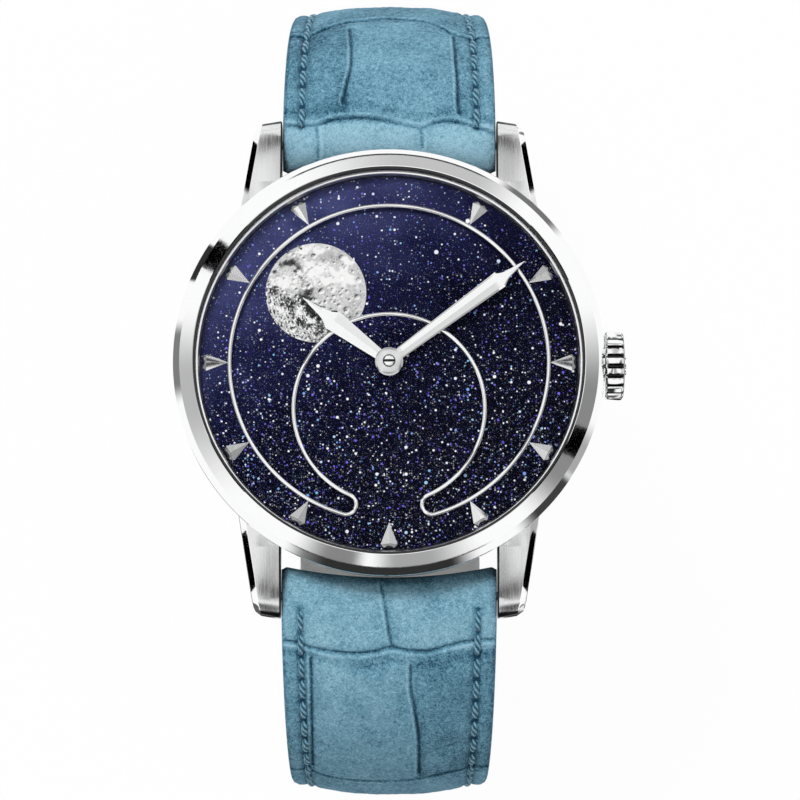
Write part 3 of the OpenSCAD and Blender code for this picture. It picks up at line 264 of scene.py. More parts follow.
def aventurine(name):
    """Navy glass full of flecks, most of them towards 6 o'clock."""
    made, tree, shader = material(name, (0.004, 0.004, 0.03), 0.3, Specular_IOR_Level=0.03)
    mm = coordinates(tree, (1, 1, 1))
    x, y, _ = join(tree, "ShaderNodeSeparateXYZ", [(0, mm)]).outputs
    # Painted light and shade: brighter towards 10 o'clock and darker towards 4 o'clock, under a random cloud
    slope = maths(tree, "SUBTRACT", y, maths(tree, "MULTIPLY", x, 0.75))
    cloud = noise(tree, mm, 0.25, 2.0)
    depth = maths(tree, "ADD", span(tree, slope, -14, 22), span(tree, cloud, 0.2, 0.8, -0.12, 0.12))
    colour = ramp(
        tree, depth, (0.0, (0.0008, 0.0009, 0.0055)), (0.40, (0.0012, 0.0015, 0.0115)),
        (0.62, (0.0065, 0.0075, 0.038)), (0.80, (0.028, 0.031, 0.100)), (1.0, (0.060, 0.068, 0.190)),
    )
    crowd = span(tree, y, -14, 14, 1.0, 0.35)
    # Cells per mm, share of cells with a fleck, fleck size, brightness
    flecks = (
        (6.5, 0.45, 0.50, 0.07), (5.2, 0.26, 0.50, 0.32), (3.9, 0.12, 0.46, 1.1),
        (2.5, 0.065, 0.37, 1.9), (1.1, 0.055, 0.20, 2.4), (0.35, 0.10, 0.08, 2.4),
    )
    for number, (cells, share, size, bright) in enumerate(flecks):
        aside = (number * 3.7, number * 1.9, 0.5)
        where = join(tree, "ShaderNodeVectorMath", [(0, mm), (1, aside)], operation="ADD").outputs[0]
        cell = join(
            tree, "ShaderNodeTexVoronoi", [("Vector", where), ("Scale", cells), ("Randomness", 1.0)],
            voronoi_dimensions="2D",
        )
        chance, large, pale = join(tree, "ShaderNodeSeparateColor", [(0, cell.outputs["Color"])]).outputs
        there = maths(tree, "LESS_THAN", chance, maths(tree, "MULTIPLY", crowd, share))
        own_size = span(tree, large, 0, 1, size * 0.45, size)
        from_middle = maths(tree, "DIVIDE", cell.outputs["Distance"], own_size)
        dot = span(tree, from_middle, 0.55, 1.0, 1.0, 0.0, True)
        # The larger ones are paler
        hue = ramp(
            tree, span(tree, pale, 0, 1, 0.0 if cells > 2 else 0.42, 1.0), (0.0, (0.10, 0.07, 0.55)),
            (0.34, (0.22, 0.17, 0.85)), (0.50, (0.22, 0.55, 0.85)), (0.64, (0.80, 0.84, 1.0)),
            (1.0, (1.0, 1.0, 1.0)),
        )
        inputs = [(0, maths(tree, "MULTIPLY", there, dot)), (1, bright)]
        mask = join(tree, "ShaderNodeMath", inputs, operation="MULTIPLY", use_clamp=True).outputs[0]
        colour = blend_colours(tree, mask, colour, hue)
    drive(shader, "Base Color", colour)
    return made


def moon_rock(name):
    """Grey rock: pale highlands, dark plains, and painted light and shade on the crater walls, from the
    relief numbers on the mesh.
    """
    made, tree, shader = material(name, (0.5, 0.5, 0.5), 0.75, Specular_IOR_Level=0.2)
    mm = coordinates(tree, (1, 1, 1))
    plains = noise(tree, mm, 0.42, 5.0, 0.55, 0.6)
    grain = noise(tree, mm, 3.5, 6.0, 0.7, 0.2)
    relief = join(tree, "ShaderNodeAttribute", attribute_name="relief").outputs["Fac"]
    tone = maths(tree, "ADD", span(tree, plains, 0.40, 0.60, -0.07, 0.05), relief)
    tone = maths(tree, "ADD", tone, span(tree, grain, 0.36, 0.64, -0.09, 0.07))
    colour = ramp(
        tree, maths(tree, "ADD", tone, 0.5), (0.0, (0.012, 0.012, 0.013)), (0.28, (0.11, 0.11, 0.113)),
        (0.55, (0.57, 0.57, 0.57)), (0.82, (0.97, 0.97, 0.965)),
    )
    drive(shader, "Base Color", colour)
    bump(tree, shader, grain, 0.10)
    return made


def nubuck(name, dark, middle, light, nap):
    """Soft brushed leather: cloudy nap, with painted shade and light from numbers on its mesh, darker down
    in the creases.
    """
    made, tree, shader = material(
        name, middle, 0.92, Specular_IOR_Level=0.12, Sheen_Weight=0.08, Sheen_Roughness=0.5
    )
    mm = coordinates(tree, (1, 1, 1))
    cloud = noise(tree, mm, 0.22, 3.0, 0.55, 0.5)
    fibre = noise(tree, mm, 2.6, 4.0, 0.75, 0.8)
    fine = noise(tree, mm, 7.5, 3.0, 0.8)
    crease = join(tree, "ShaderNodeAttribute", attribute_name="crease").outputs["Fac"]
    tone = span(tree, cloud, 0.3, 0.7, -0.09, 0.09)
    tone = maths(tree, "ADD", tone, span(tree, fibre, 0.3, 0.7, -nap, nap))
    tone = maths(tree, "ADD", tone, span(tree, fine, 0.32, 0.68, -nap, nap))
    tone = maths(tree, "ADD", maths(tree, "SUBTRACT", tone, crease), 0.5)
    drive(shader, "Base Color", ramp(tree, tone, (0.0, dark), (0.5, middle), (1.0, light)))
    bump(tree, shader, maths(tree, "ADD", fibre, maths(tree, "MULTIPLY", fine, 0.9)), 0.17)
    return made


def clear(name, tint, centre, edge):
    """Coated glass: nearly unseen face on, and brighter at a grazing angle."""
    made, tree, shader = material(name, tint, 0.02, Specular_IOR_Level=0.9)
    facing = join(tree, "ShaderNodeLayerWeight", [("Blend", 0.35)]).outputs["Facing"]
    dust = noise(tree, coordinates(tree, (1, 1, 1)), 0.6, 2.0)
    glare = span(tree, facing, 0.25, 1.0, centre, edge)
    drive(shader, "Alpha", maths(tree, "ADD", glare, span(tree, dust, 0.3, 0.7, 0.0, 0.006)))
    return made


def stone(name, colour):
    made, tree, shader = material(name, colour, 0.08, Specular_IOR_Level=0.8, Coat_Weight=0.5)
    depth = noise(tree, coordinates(tree, (1, 1, 1)), 2.5, 2.0)
    dark = dimmed(colour, 0.6)
    drive(shader, "Base Color", blend_colours(tree, span(tree, depth, 0.3, 0.7), dark, colour))
    return made


def soft_rubber(name):
    made, tree, shader = material(name, (0.02, 0.02, 0.022), 0.6)
    specks = noise(tree, coordinates(tree, (1, 1, 1)), 6.0, 3.0)
    drive(shader, "Roughness", span(tree, specks, 0.3, 0.7, 0.5, 0.7))
    bump(tree, shader, specks, 0.01)
    return made


def twisted_thread(name, colour, light):
    made, tree, shader = material(name, colour, 0.75, Specular_IOR_Level=0.25, Sheen_Weight=0.3)
    mm = coordinates(tree, (1, 1, 1))
    fibres = noise(tree, mm, 9.0, 3.0, 0.7)
    # Painted shade between the plies, from the numbers on the mesh
    painted_ply_shade = join(tree, "ShaderNodeAttribute", attribute_name="crease").outputs["Fac"]
    tone = maths(tree, "SUBTRACT", span(tree, fibres, 0.3, 0.7, 0.35, 1.0), painted_ply_shade)
    shade = blend_colours(tree, span(tree, tone, 0.0, 0.45), dimmed(colour, 0.16), colour)
    drive(shader, "Base Color", blend_colours(tree, span(tree, tone, 0.45, 1.0), shade, light))
    bump(tree, shader, fibres, 0.04)
    return made


STEEL = (0.97, 0.972, 0.975)
POLISHED = metal("polished_steel", STEEL, 0.05, 0.02, (3, 3, 3), 0.0004)
BRUSHED_Y = metal("brushed_lug", (0.86, 0.862, 0.865), 0.24, 0.05, (9.0, 0.35, 0.35), 0.004)
BRUSHED_SIDE = metal("brushed_side", (0.58, 0.583, 0.587), 0.28, 0.14, (0.6, 0.6, 22), 0.008)
FINE_STEEL = turned_metal("fine_steel", (0.55, 0.56, 0.58), 0.3)
TURNED = turned_metal("turned_steel", (0.68, 0.685, 0.69), 0.24)
BRIDGE = striped_metal("striped_bridge", (0.74, 0.74, 0.73), 1.5)
GILT = metal("gilt_brass", (0.83, 0.64, 0.33), 0.3, 0.1, (5, 5, 5), 0.006)
AVENTURINE = aventurine("aventurine")
MOON = moon_rock("moon_rock")
SAPPHIRE = clear("sapphire", (0.02, 0.03, 0.06), 0.01, 0.3)
WINDOW = clear("window_glass", (0.03, 0.04, 0.05), 0.03, 0.35)
# Painted shade: near-black steel for corners, gaps, flutes and slots where shade falls
PAINTED_SHADE_STEEL = metal("painted_shade_steel", (0.035, 0.035, 0.037), 0.35, 0.1, (4, 4, 4), 0.004)
# Painted shade: dimmed steel for the case side between the lugs and the ring round the crown's end
PAINTED_SHADE_DIM_STEEL = metal("painted_shade_dim_steel", (0.24, 0.242, 0.245), 0.33, 0.1, (4, 4, 4), 0.004)
MARKER_STEEL = metal("marker_steel", STEEL, 0.18, 0.03, (4, 4, 4), 0.0005)
PALE_SATIN = metal("pale_satin_steel", (0.88, 0.882, 0.885), 0.3, 0.06, (4, 4, 4), 0.002)
SATIN = turned_metal("satin_steel", (0.62, 0.625, 0.63), 0.34)
RUBBER = soft_rubber("black_rubber")
RUBY = stone("ruby", (0.45, 0.01, 0.06))
LEATHER = nubuck("blue_nubuck", (0.008, 0.070, 0.130), (0.178, 0.412, 0.560), (0.430, 0.735, 0.885), 0.31)
LINING = nubuck("lining_leather", (0.50, 0.51, 0.50), (0.76, 0.77, 0.76), (0.86, 0.87, 0.86), 0.05)
THREAD = twisted_thread("blue_thread", (0.085, 0.250, 0.365), (0.38, 0.69, 0.83))


# Meshes


def skin(loops, closed=False, caps=True):
    """Vertices and faces over a row of closed loops that all have as many points."""
    loops = np.asarray(loops, float)
    rows, n = loops.shape[:2]
    faces = []
    for i in range(rows if closed else rows - 1):
        a, b = i * n, (i + 1) % rows * n
        for j in range(n):
            k = (j + 1) % n
            faces.append((a + j, a + k, b + k, b + j))
    if caps and not closed:
        faces.append(tuple(range(n - 1, -1, -1)))
        faces.append(tuple(range((rows - 1) * n, rows * n)))
    return loops.reshape(-1, 3), faces


def merge(parts):
    """One (vertices, faces) from several."""
    verts, faces, start = [], [], 0
    for v, f in parts:
        verts.append(np.asarray(v, float))
        faces += [tuple(i + start for i in face) for face in f]
        start += len(v)
    return np.concatenate(verts), faces


def add_object(name, data):
    made = bpy.data.objects.new(name, data)
    bpy.context.scene.collection.objects.link(made)
    return made


def write_values(mesh, name, values):
    """One number for each vertex, for the material to read."""
    mesh.attributes.new(name, "FLOAT", "POINT").data.foreach_set("value", np.asarray(values, np.float32))


def outward_mesh(name, geometry):
    """A mesh from geometry in mm, with all its faces turned outwards."""
    verts, faces = geometry
    mesh = bpy.data.meshes.new(name)
    mesh.from_pydata((np.asarray(verts) * MM).tolist(), [], faces)
    work = bmesh.new()
    work.from_mesh(mesh)
    bmesh.ops.recalc_face_normals(work, faces=work.faces)
    work.to_mesh(mesh)
    work.free()
    return mesh


def piece(name, geometry, body, slot, materials, replaces=(), sharp=32, band=None, **values):
    """A new piece from geometry in mm, with values for its vertices.

    Band gives a face's material number from its middle in mm and its normal.
    """
    mesh = outward_mesh(name, geometry)
    for key, row in values.items():
        write_values(mesh, key, row)
    mesh.shade_smooth()
    mesh.set_sharp_from_angle(angle=math.radians(sharp))
    made = add_object(name, mesh)
    for m in materials:
        mesh.materials.append(m)
    if band:
        for face in mesh.polygons:
            face.material_index = band(face.center / MM, face.normal)
    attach(made, body)
    if replaces:
        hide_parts(*replaces)
    return made


def revolve(profile, steps=256):
    """Closed outline of (r, z) points turned about Z."""
    profile = np.asarray(profile, float)
    loops = []
    for i in range(steps):
        a = 2 * math.pi * i / steps
        loops.append(np.stack([profile[:, 0] * math.cos(a), profile[:, 0] * math.sin(a), profile[:, 1]], 1))
    return skin(loops, closed=True)


def arc(centre, r, a0, a1, n):
    """Points of an arc, in degrees."""
    return [
        (centre[0] + r * math.cos(math.radians(a)), centre[1] + r * math.sin(math.radians(a)))
        for a in np.linspace(a0, a1, n + 1)
    ]


def smooth_line(points, n):
    """n points of a smooth line through the given ones, evenly spaced in their order."""
    points = np.asarray(points, float)
    at = np.linspace(0, len(points) - 1, n)
    i = np.clip(at.astype(int), 0, len(points) - 2)
    f = (at - i)[:, None]
    padded = np.concatenate([[2 * points[0] - points[1]], points, [2 * points[-1] - points[-2]]])
    p0, p1, p2, p3 = padded[i], padded[i + 1], padded[i + 2], padded[i + 3]
    return 0.5 * (
        2 * p1 + (p2 - p0) * f + (2 * p0 - 5 * p1 + 4 * p2 - p3) * f**2 + (3 * p1 - p0 - 3 * p2 + p3) * f**3
    )


def ease(x):
    x = np.clip(x, 0, 1)
    return x * x * (3 - 2 * x)


# Case


def build_case_ring():
    ring = [
        (BORE_R, 1.0), (CASE_R - 0.6, 1.0), (CASE_R - 0.25, 1.25), (CASE_R - 0.1, 1.6), (CASE_R - 0.02, 2.3),
        (CASE_R, 2.9), (CASE_R, CASE_TOP - 0.12), (CASE_R - 0.12, CASE_TOP),
        (DIAL_SEAT_R, CASE_TOP), (DIAL_SEAT_R, Z_DIAL), (BORE_R, Z_DIAL),
    ]

    def shaded(middle, normal):
        """The side between the lugs lies in the strap's shade."""
        return 1 if abs(middle.x) < STRAP_W / 2 and math.hypot(middle.x, middle.y) > CASE_R - 0.5 else 0

    piece(
        "case_middle", revolve(ring), "case", "brushed_steel", [BRUSHED_SIDE, PAINTED_SHADE_DIM_STEEL], ["mid_case"],
        band=shaded,
    )


def lug_width(y):
    return LUG_ROOT_W - (LUG_ROOT_W - LUG_TIP_W) * (y - LUG_ROOT_Y) / (LUG_SPAN / 2 - LUG_ROOT_Y)


def build_lugs():
    """Four mirrored lugs, each a brushed top with a polished bevel and side."""
    tip = LUG_SPAN / 2
    # Distance from the watch's middle, and depth under the case's top
    top = ((13.5, 0.3), (16.2, 0.6), (18.4, 1.05), (20.4, 1.65), (22, 2.35), (tip - 0.3, 3.1))
    below = (
        (tip, 3.5), (tip, 5.3), (tip - 0.1, 5.7), (tip - 0.35, 6), (tip - 0.75, 6.2), (tip - 1.3, 6.3),
        (19, 6.2), (13.5, 6.5),
    )
    side = smooth_line([(y, CASE_TOP - depth) for y, depth in top], 36)
    side = np.concatenate([side, [(y, CASE_TOP - depth) for y, depth in below]])
    inner = STRAP_W / 2 + 0.05
    out = STRAP_W / 2 + lug_width(side[:, 0])
    # Depth of the bevel, and share of the slant across the tip
    cut = np.where(side[:, 1] > CASE_TOP - 4, LUG_BEVEL, 0.05)
    tip_part = ease((side[:, 0] - LUG_SLANT_Y) / (tip - LUG_SLANT_Y))
    middle = np.array([18.5, CASE_TOP - 3.6])

    def loop(x, shrink, y_back=0.0, z_down=0.0):
        toward = middle - side
        toward /= np.linalg.norm(toward, axis=1)[:, None]
        at = side + toward * shrink
        x = np.broadcast_to(x, len(side))
        # The end inside the case stops short of the dial's seat
        y = np.maximum(at[:, 0] - y_back * tip_part, 15.95 - (x - inner) * 0.85)
        return np.stack([x, y, at[:, 1] - z_down], 1)

    loops = [
        loop(inner, 0.10, 0.02),
        loop(inner + 0.12, 0, 0.02),
        loop(out - BEVEL_W - 0.06, 0, 0.30),
        loop(out - BEVEL_W, 0, 0.32, cut * 0.04),
        loop(out - 0.05, 0, 0.70, cut * 0.46),
        loop(out, 0, 0.74, cut * 0.50 + 0.12),
    ]
    verts, faces = skin(loops)

    def band(middle, normal):
        """Shade on the rim of the tip and along the strap, brush marks on the top, and a polished rest."""
        rim = abs(middle.y) > tip - 0.6 and abs(normal.y) > 0.72
        if middle.z > CASE_TOP - 4 and (rim or abs(middle.x) < inner + 0.07):
            return 2
        top_edge = STRAP_W / 2 + lug_width(abs(middle.y)) - BEVEL_W - 0.05
        return 0 if abs(middle.x) < top_edge and normal.z > 0.3 else 1

    for end, sy in (("12", 1), ("6", -1)):
        for hand, sx in (("right", 1), ("left", -1)):
            placed = verts * np.array([sx, sy, 1])
            piece(
                f"lug_{end}_{hand}", (placed, faces), "case", "brushed_steel",
                [BRUSHED_Y, POLISHED, PAINTED_SHADE_STEEL], ["mid_case"], band=band,
            )


def build_bezel():
    """Ring with a broad face that grows steeper outwards, and a bevel round it."""
    inner = CRYSTAL_R + 0.2
    profile = [(inner, FLANGE_TOP), (inner, BEZEL_TOP - 0.14), (inner + 0.03, BEZEL_TOP - 0.05)]
    r, z = inner + 0.09, BEZEL_TOP - 0.01
    profile.append((r, z))
    for slope in np.linspace(14, 22, 12):
        r, z = r + 0.1, z - 0.1 * math.tan(math.radians(slope))
        profile.append((r, z))
    profile += [
        (r + 0.1, z - 0.115), (r + 0.27, z - 0.33), (BEZEL_R - 0.10, z - 0.62),
        (BEZEL_R - 0.03, z - 0.73), (BEZEL_R, z - 0.83), (BEZEL_R - 0.03, z - 0.90),
        (BEZEL_R - 0.3, CASE_TOP + 0.08), (CASE_R + 0.1, CASE_TOP), (DIAL_SEAT_R, CASE_TOP),
        (DIAL_SEAT_R, FLANGE_TOP),
    ]
    piece("bezel_ring", revolve(profile, 384), "case", "polished_steel", [POLISHED], ["bezel"], sharp=12)


def build_crystal():
    edge = BEZEL_TOP - 0.05
    r = CRYSTAL_R * np.linspace(0.0005, 1, 20)
    dome = CRYSTAL_DOME * (1 - (r / CRYSTAL_R) ** 2)
    top = list(zip(r, edge + dome))
    under = list(zip(r[::-1], (edge - 1.0 + dome * 0.95)[::-1]))
    top[-1:] = [(CRYSTAL_R - 0.12, edge + 0.01), (CRYSTAL_R, edge - 0.1)]
    piece("crystal_dome", revolve(top + under, 192), "case", "sapphire", [SAPPHIRE], ["crystal"], sharp=30)


def build_rehaut():
    slope = ((0, 0), (0.02, 0.12), (0.10, 0.2), (0.25, 0.62), (0.28, 0.66), (0.41, 0.68), (0.44, 0.71))
    profile = [(DIAL_R + out, DIAL_TOP + up) for out, up in slope]
    profile += [
        (DIAL_R + 0.46, FLANGE_TOP - 0.03), (DIAL_R + 0.5, FLANGE_TOP), (DIAL_SEAT_R, FLANGE_TOP),
        (DIAL_SEAT_R, DIAL_TOP),
    ]

    def foot(middle, normal):
        """Shade in the corner where the flange meets the dial, and a bright step near its top."""
        if middle.z < DIAL_TOP + 0.22 and math.hypot(middle.x, middle.y) < DIAL_R + 0.2:
            return 1
        return 2 if DIAL_TOP + 0.63 < middle.z < DIAL_TOP + 0.70 and normal.z > 0.5 else 0

    piece(
        "dial_flange", revolve(profile), "case", "polished_steel", [SATIN, PAINTED_SHADE_STEEL, MARKER_STEEL],
        ["rehaut_ring"], sharp=20, band=foot,
    )


# Dial, moon and hands


def aperture_line(grow):
    """Outline of the aperture, wider all round by grow."""
    y = ((SHADE_R + HORN_R) ** 2 - (APERTURE_R - HORN_R) ** 2 - SHADE_DROP**2) / (2 * SHADE_DROP)
    x = math.sqrt((APERTURE_R - HORN_R) ** 2 - y**2)
    out = math.degrees(math.atan2(y, x))
    inn = math.degrees(math.atan2(y + SHADE_DROP, x))
    tip = HORN_R + grow
    return np.array(
        arc((0, 0), APERTURE_R + grow, out, 180 - out, 260)[:-1]
        + arc((-x, y), tip, 180 - out, 360 - inn, 32)[:-1]
        + arc((0, -SHADE_DROP), SHADE_R - grow, 180 - inn, inn, 200)[:-1]
        + arc((x, y), tip, 180 + inn, 360 + out, 32)[:-1]
    )


def build_wire():
    """Half-round wire along the aperture's edge."""
    section = [(0.0, 0.0), (0.0, 0.06), (0.05, 0.13), (0.13, 0.17), (0.2, 0.18)]
    section += [(0.4 - out, up) for out, up in section[3::-1]]
    lines = [(aperture_line(g), DIAL_TOP + h) for g, h in section]
    loops = [[(line[i][0], line[i][1], z) for line, z in lines] for i in range(len(lines[0][0]))]
    piece(
        "aperture_wire", skin(loops, closed=True), "case", "polished_steel", [POLISHED], ["aperture_frame"],
        sharp=50,
    )


def build_moon():
    """Disc with craters in low relief."""
    rings, spokes = 120, 320
    r = np.linspace(0, 1, rings + 1)[1:] ** 0.75 * MOON_R
    a = np.linspace(0, 2 * math.pi, spokes, endpoint=False)
    x, y = np.outer(r, np.cos(a)), np.outer(r, np.sin(a))
    height, tone = np.zeros_like(x), np.zeros_like(x)
    # Large craters: place, size
    craters = [
        (-0.5, 1.9, 0.42), (1.5, 0.6, 0.36), (-2.2, 0.6, 0.34), (2.4, 1.4, 0.3), (-1.9, 1.8, 0.35),
        (0.9, 2.9, 0.3),
    ]
    large = len(craters)
    for _ in range(260):
        q, t = MOON_R * math.sqrt(rng.random()) * 0.97, rng.random() * 2 * math.pi
        craters.append((q * math.cos(t), q * math.sin(t), 0.07 + 0.20 * rng.random() ** 3))
    for number, (cx, cy, size) in enumerate(craters):
        d = np.hypot(x - cx, y - cy) / size
        height += size * (0.10 * np.exp(-((d - 1) ** 2) / 0.05) - 0.16 * np.exp(-(d**4)))
        # Lit from the upper left: the near wall is in shade and the far wall bright
        lit = np.clip(((x - cx) * -0.6 + (y - cy) * 0.8) / size, -1, 1)
        strength = 0.30 if number < large else 0.55
        tone -= strength * lit * np.exp(-((d - 0.7) ** 2) / 0.12)
    # Dark plains and pale highlands: place, length, width, heading, tone. The first, a dark strip, is partly
    # a plain and partly the hour hand's painted shadow
    fields = (
        (-0.4, -1.7, 1.9, 0.55, -52, -0.62), (-1.3, -2.8, 0.8, 0.40, -20, -0.50),
        (-2.4, -1.1, 0.75, 0.5, -30, -0.40), (-0.7, 0.0, 0.45, 0.4, 0, -0.50),
        (-2.5, 2.85, 0.75, 0.28, 15, -0.52), (-1.6, 2.5, 0.5, 0.28, -60, -0.40),
        (-3.9, 0.2, 0.5, 0.35, 60, -0.35), (-3.7, 1.8, 0.45, 0.3, -50, -0.28),
        (-1.5, 1.5, 0.9, 0.14, -45, -0.30), (-0.2, 2.3, 0.85, 0.6, 10, 0.42),
        (-3.0, 0.9, 0.95, 0.45, -5, 0.42), (2.6, 1.5, 1.2, 0.55, -25, 0.38),
        (1.1, 1.1, 0.6, 0.4, -20, 0.36), (0.2, 3.9, 0.6, 0.25, 0, 0.34), (-1.0, 4.1, 0.8, 0.3, 15, 0.34),
        (2.9, 3.0, 0.55, 0.3, -30, 0.34), (-1.5, -1.9, 0.55, 0.22, -35, 0.45),
        (-0.5, -2.6, 0.45, 0.25, 20, 0.40), (-3.1, -1.8, 0.6, 0.2, -40, 0.34),
        (0.2, -3.6, 0.6, 0.4, 0, -0.22), (1.2, 3.2, 1.3, 0.6, 0, -0.06),
    )
    for number, (cx, cy, long, wide, heading, level) in enumerate(fields):
        a = math.radians(heading)
        u = (x - cx) * math.cos(a) + (y - cy) * math.sin(a)
        v = (y - cy) * math.cos(a) - (x - cx) * math.sin(a)
        ragged = 1 + 0.35 * wander(x, y, 0.8, 40 + number)
        tone += level * np.exp(-((np.hypot(u / long, v / wide) * ragged) ** 3))
    rough = wander(x, y, 0.32, 31) * wander(x, y, 0.5, 32)
    crowded = ease((-0.6 - y - 0.6 * x) / 2.2)
    tone += (0.10 + 0.75 * crowded) * rough + 0.16 - 0.06 * crowded
    height = np.clip(height, -0.06, 0.04) * ease((MOON_R - np.hypot(x, y)) / 0.15)
    at = math.radians(90 + MOON_ANGLE)
    cx, cy = MOON_ORBIT * math.cos(at), MOON_ORBIT * math.sin(at)
    z = MOON_BOTTOM + MOON_T - 0.035 + height * 0.85
    z = z - 0.03 * (np.hypot(x, y) / MOON_R) ** 6
    top = np.stack([x + cx, y + cy, z], 2).reshape(-1, 3)
    bottom = np.stack([x[-1] + cx, y[-1] + cy, np.full(spokes, MOON_BOTTOM)], 1)
    verts = np.concatenate([top, bottom, [[cx, cy, z[0].mean()]]])
    faces = []
    for i in range(rings):
        low = (i + 1) * spokes
        for j in range(spokes):
            k = (j + 1) % spokes
            faces.append((i * spokes + j, low + j, low + k, i * spokes + k))
    faces += [(len(verts) - 1, j, (j + 1) % spokes) for j in range(spokes)]
    faces.append(tuple(range(rings * spokes + spokes - 1, rings * spokes - 1, -1)))
    tones = np.concatenate([tone.reshape(-1), np.zeros(spokes), [0]])
    # The relief numbers are tones, not heights: plains and highlands, painted light and shade on the crater
    # walls, and the hour hand's painted shadow
    piece(
        "moon_relief", (verts, faces), "moon_disc", "moon_grey", [MOON], ["moon"], sharp=60,
        relief=np.clip(tones, -0.6, 0.5),
    )


def hand_geometry(spec):
    """Faceted hand with a ridge: it widens to its shoulder, then thins to a needle."""
    length, half = spec["length"], spec["width"] / 2
    shoulder = spec["shoulder"] * length
    neck = spec["neck"] / 2
    # Share of the way from shoulder to tip, and share of the full width
    shares = (0, 0.1, 0.22, 0.36, 0.5, 0.65, 0.8, 1)
    widths = (1, 0.76, 0.54, 0.41, 0.33, 0.24, 0.16, 0.05)
    start = 0.6
    stations = [
        (s, neck + (half - neck) * (s - start) / (shoulder - start))
        for s in np.linspace(start, shoulder, 14)
    ]
    for f in np.linspace(0, 1, 26)[1:]:
        stations.append((shoulder + f * (length - shoulder), half * np.interp(f, shares, widths)))
    # Two shallow facets with a narrow steeper one along each edge, smoothed along the hand
    at, half_widths = np.array(stations).T
    loops = []
    side = HAND_T * 0.25
    for s, w in stations:
        near = np.exp(-(((at - s) / 0.9) ** 2))
        broad = float((near * half_widths).sum() / near.sum())
        edge = side + 0.22 * broad * math.tan(math.radians(28))
        rise = edge + 0.78 * broad * math.tan(math.radians(7.5))
        loops.append(
            [(-w * 0.9, s, 0), (w * 0.9, s, 0), (w, s, side * 0.6), (w, s, side), (w * 0.78, s, edge)]
            + [(0, s, rise), (-w * 0.78, s, edge), (-w, s, side), (-w, s, side * 0.6)]
        )
    blade = skin(loops)
    hole = spec["hole"]
    lip = max(hole, 0.56)
    boss = revolve(
        [
            (hole, 0), (BOSS_R - 0.04, 0), (BOSS_R, 0.04), (BOSS_R, 0.09), (BOSS_R - 0.09, 0.16),
            (BOSS_R - 0.22, 0.215), (BOSS_R - 0.38, 0.25), (BOSS_R - 0.56, HAND_T - 0.025),
            (lip + 0.03, HAND_T), (lip, HAND_T - 0.03), (lip, 0.16), (hole, 0.16),
        ],
        96,
    )
    return blade, boss


def hand_band(middle, normal):
    """Painted shade in the gap round the cap, and a satin boss."""
    r = math.hypot(middle.x, middle.y)
    if r < 0.585:
        return 1
    return 2 if r < BOSS_R + 0.01 and normal.z > -0.5 else 0


def build_hands():
    for body, spec in (("hour_hand", HOUR), ("minute_hand", MINUTE)):
        turn = Matrix.Rotation(math.radians(spec["turn"]), 3, "Z")
        verts, faces = merge(hand_geometry(spec))
        placed = verts @ np.array(turn).T + np.array([0, 0, spec["z"]])
        piece(
            f"{body}_steel", (placed, faces), body, "polished_steel", [POLISHED, PAINTED_SHADE_STEEL, PALE_SATIN],
            [body], sharp=7, band=hand_band,
        )


def build_cap():
    """Domed cap over the hands' axis, with a screwdriver slot."""
    z = MINUTE["z"] + HAND_T
    profile = [(0.0005, z - 0.1), (0.5, z - 0.1), (0.52, z - 0.08), (0.5, z + 0.07)]
    profile += [(r, z + 0.14 - 0.16 * r * r) for r in np.linspace(0.46, 0.0005, 10)]
    made = piece(
        "hand_cap_domed", revolve(profile, 96), "minute_hand", "polished_steel", [POLISHED, PAINTED_SHADE_STEEL],
        ["hand_cap"], sharp=40,
    )
    slot = 0.12
    cut_away(made, [box_geometry((-0.6, -slot, z + 0.03), (0.6, slot, z + 0.3))])
    # The slot's faces are painted dark, as shade
    for face in made.data.polygons:
        at = face.center / MM
        face.material_index = 1 if abs(at.y) < slot + 0.0005 and z < at.z else 0


# Crown


def build_crown():
    """Fluted crown with a domed end, about the stem's axis."""
    steps = 12
    # Distance along the stem, depth under the full radius, and share of the flutes' depth
    start = ((0.0, 0.35, 0), (0.03, 0.22, 0.3), (0.14, 0.05, 1), (0.24, 0, 1))
    end = ((0.42, 0, 1), (0.32, 0.05, 1), (0.22, 0.2, 0.5), (0.15, 0.32, 0), (0.08, 0.9, 0), (0.03, 1.6, 0))
    button = ((0, 1.0), (0, 0.86), (0.11, 0.83), (0.15, 0.74), (0.15, 0.01))
    profile = [(0.5, 0.6, 0), (0.5, 1.23, 0), (0.0, 1.25, 0)]
    profile += [(x, CROWN_R - depth, flute) for x, depth, flute in start]
    profile += [(CROWN_L - x, CROWN_R - depth, flute) for x, depth, flute in end]
    profile += [(CROWN_L + x, r, 0) for x, r in button]
    loops = []
    for x, r, flute in profile:
        ring = []
        for i in range(CROWN_FLUTES * steps):
            share = (i / steps) % 1
            groove = math.exp(-(((share - 0.5) / 0.17) ** 4))
            radius = r - 0.36 * flute * groove
            a = 2 * math.pi * i / (CROWN_FLUTES * steps)
            ring.append((CROWN_X + x, radius * math.cos(a), STEM_Z + radius * math.sin(a)))
        loops.append(ring)

    def band(middle, normal):
        """Painted shade down in the flutes, and painted shade on a ring round the end."""
        r = math.hypot(middle.y, middle.z - STEM_Z)
        if middle.x > CROWN_X + CROWN_L - 0.25:
            return 2 if r > 0.9 else 0
        return 1 if r < CROWN_R - 0.13 and CROWN_X + 0.1 < middle.x else 0

    piece(
        "crown_fluted", skin(loops), "crown", "polished_steel", [POLISHED, PAINTED_SHADE_STEEL, PAINTED_SHADE_DIM_STEEL], ["crown"],
        sharp=28, band=band,
    )


# Strap

DIP = math.radians(5)
LUG_ARC_R = (STRAP_REACH - BAR_Y) / (1 - math.sin(DIP))
Z_SIDE = BAR_Z - LUG_ARC_R * math.cos(DIP)
LUG_ARC_L = LUG_ARC_R * (math.pi / 2 - DIP)


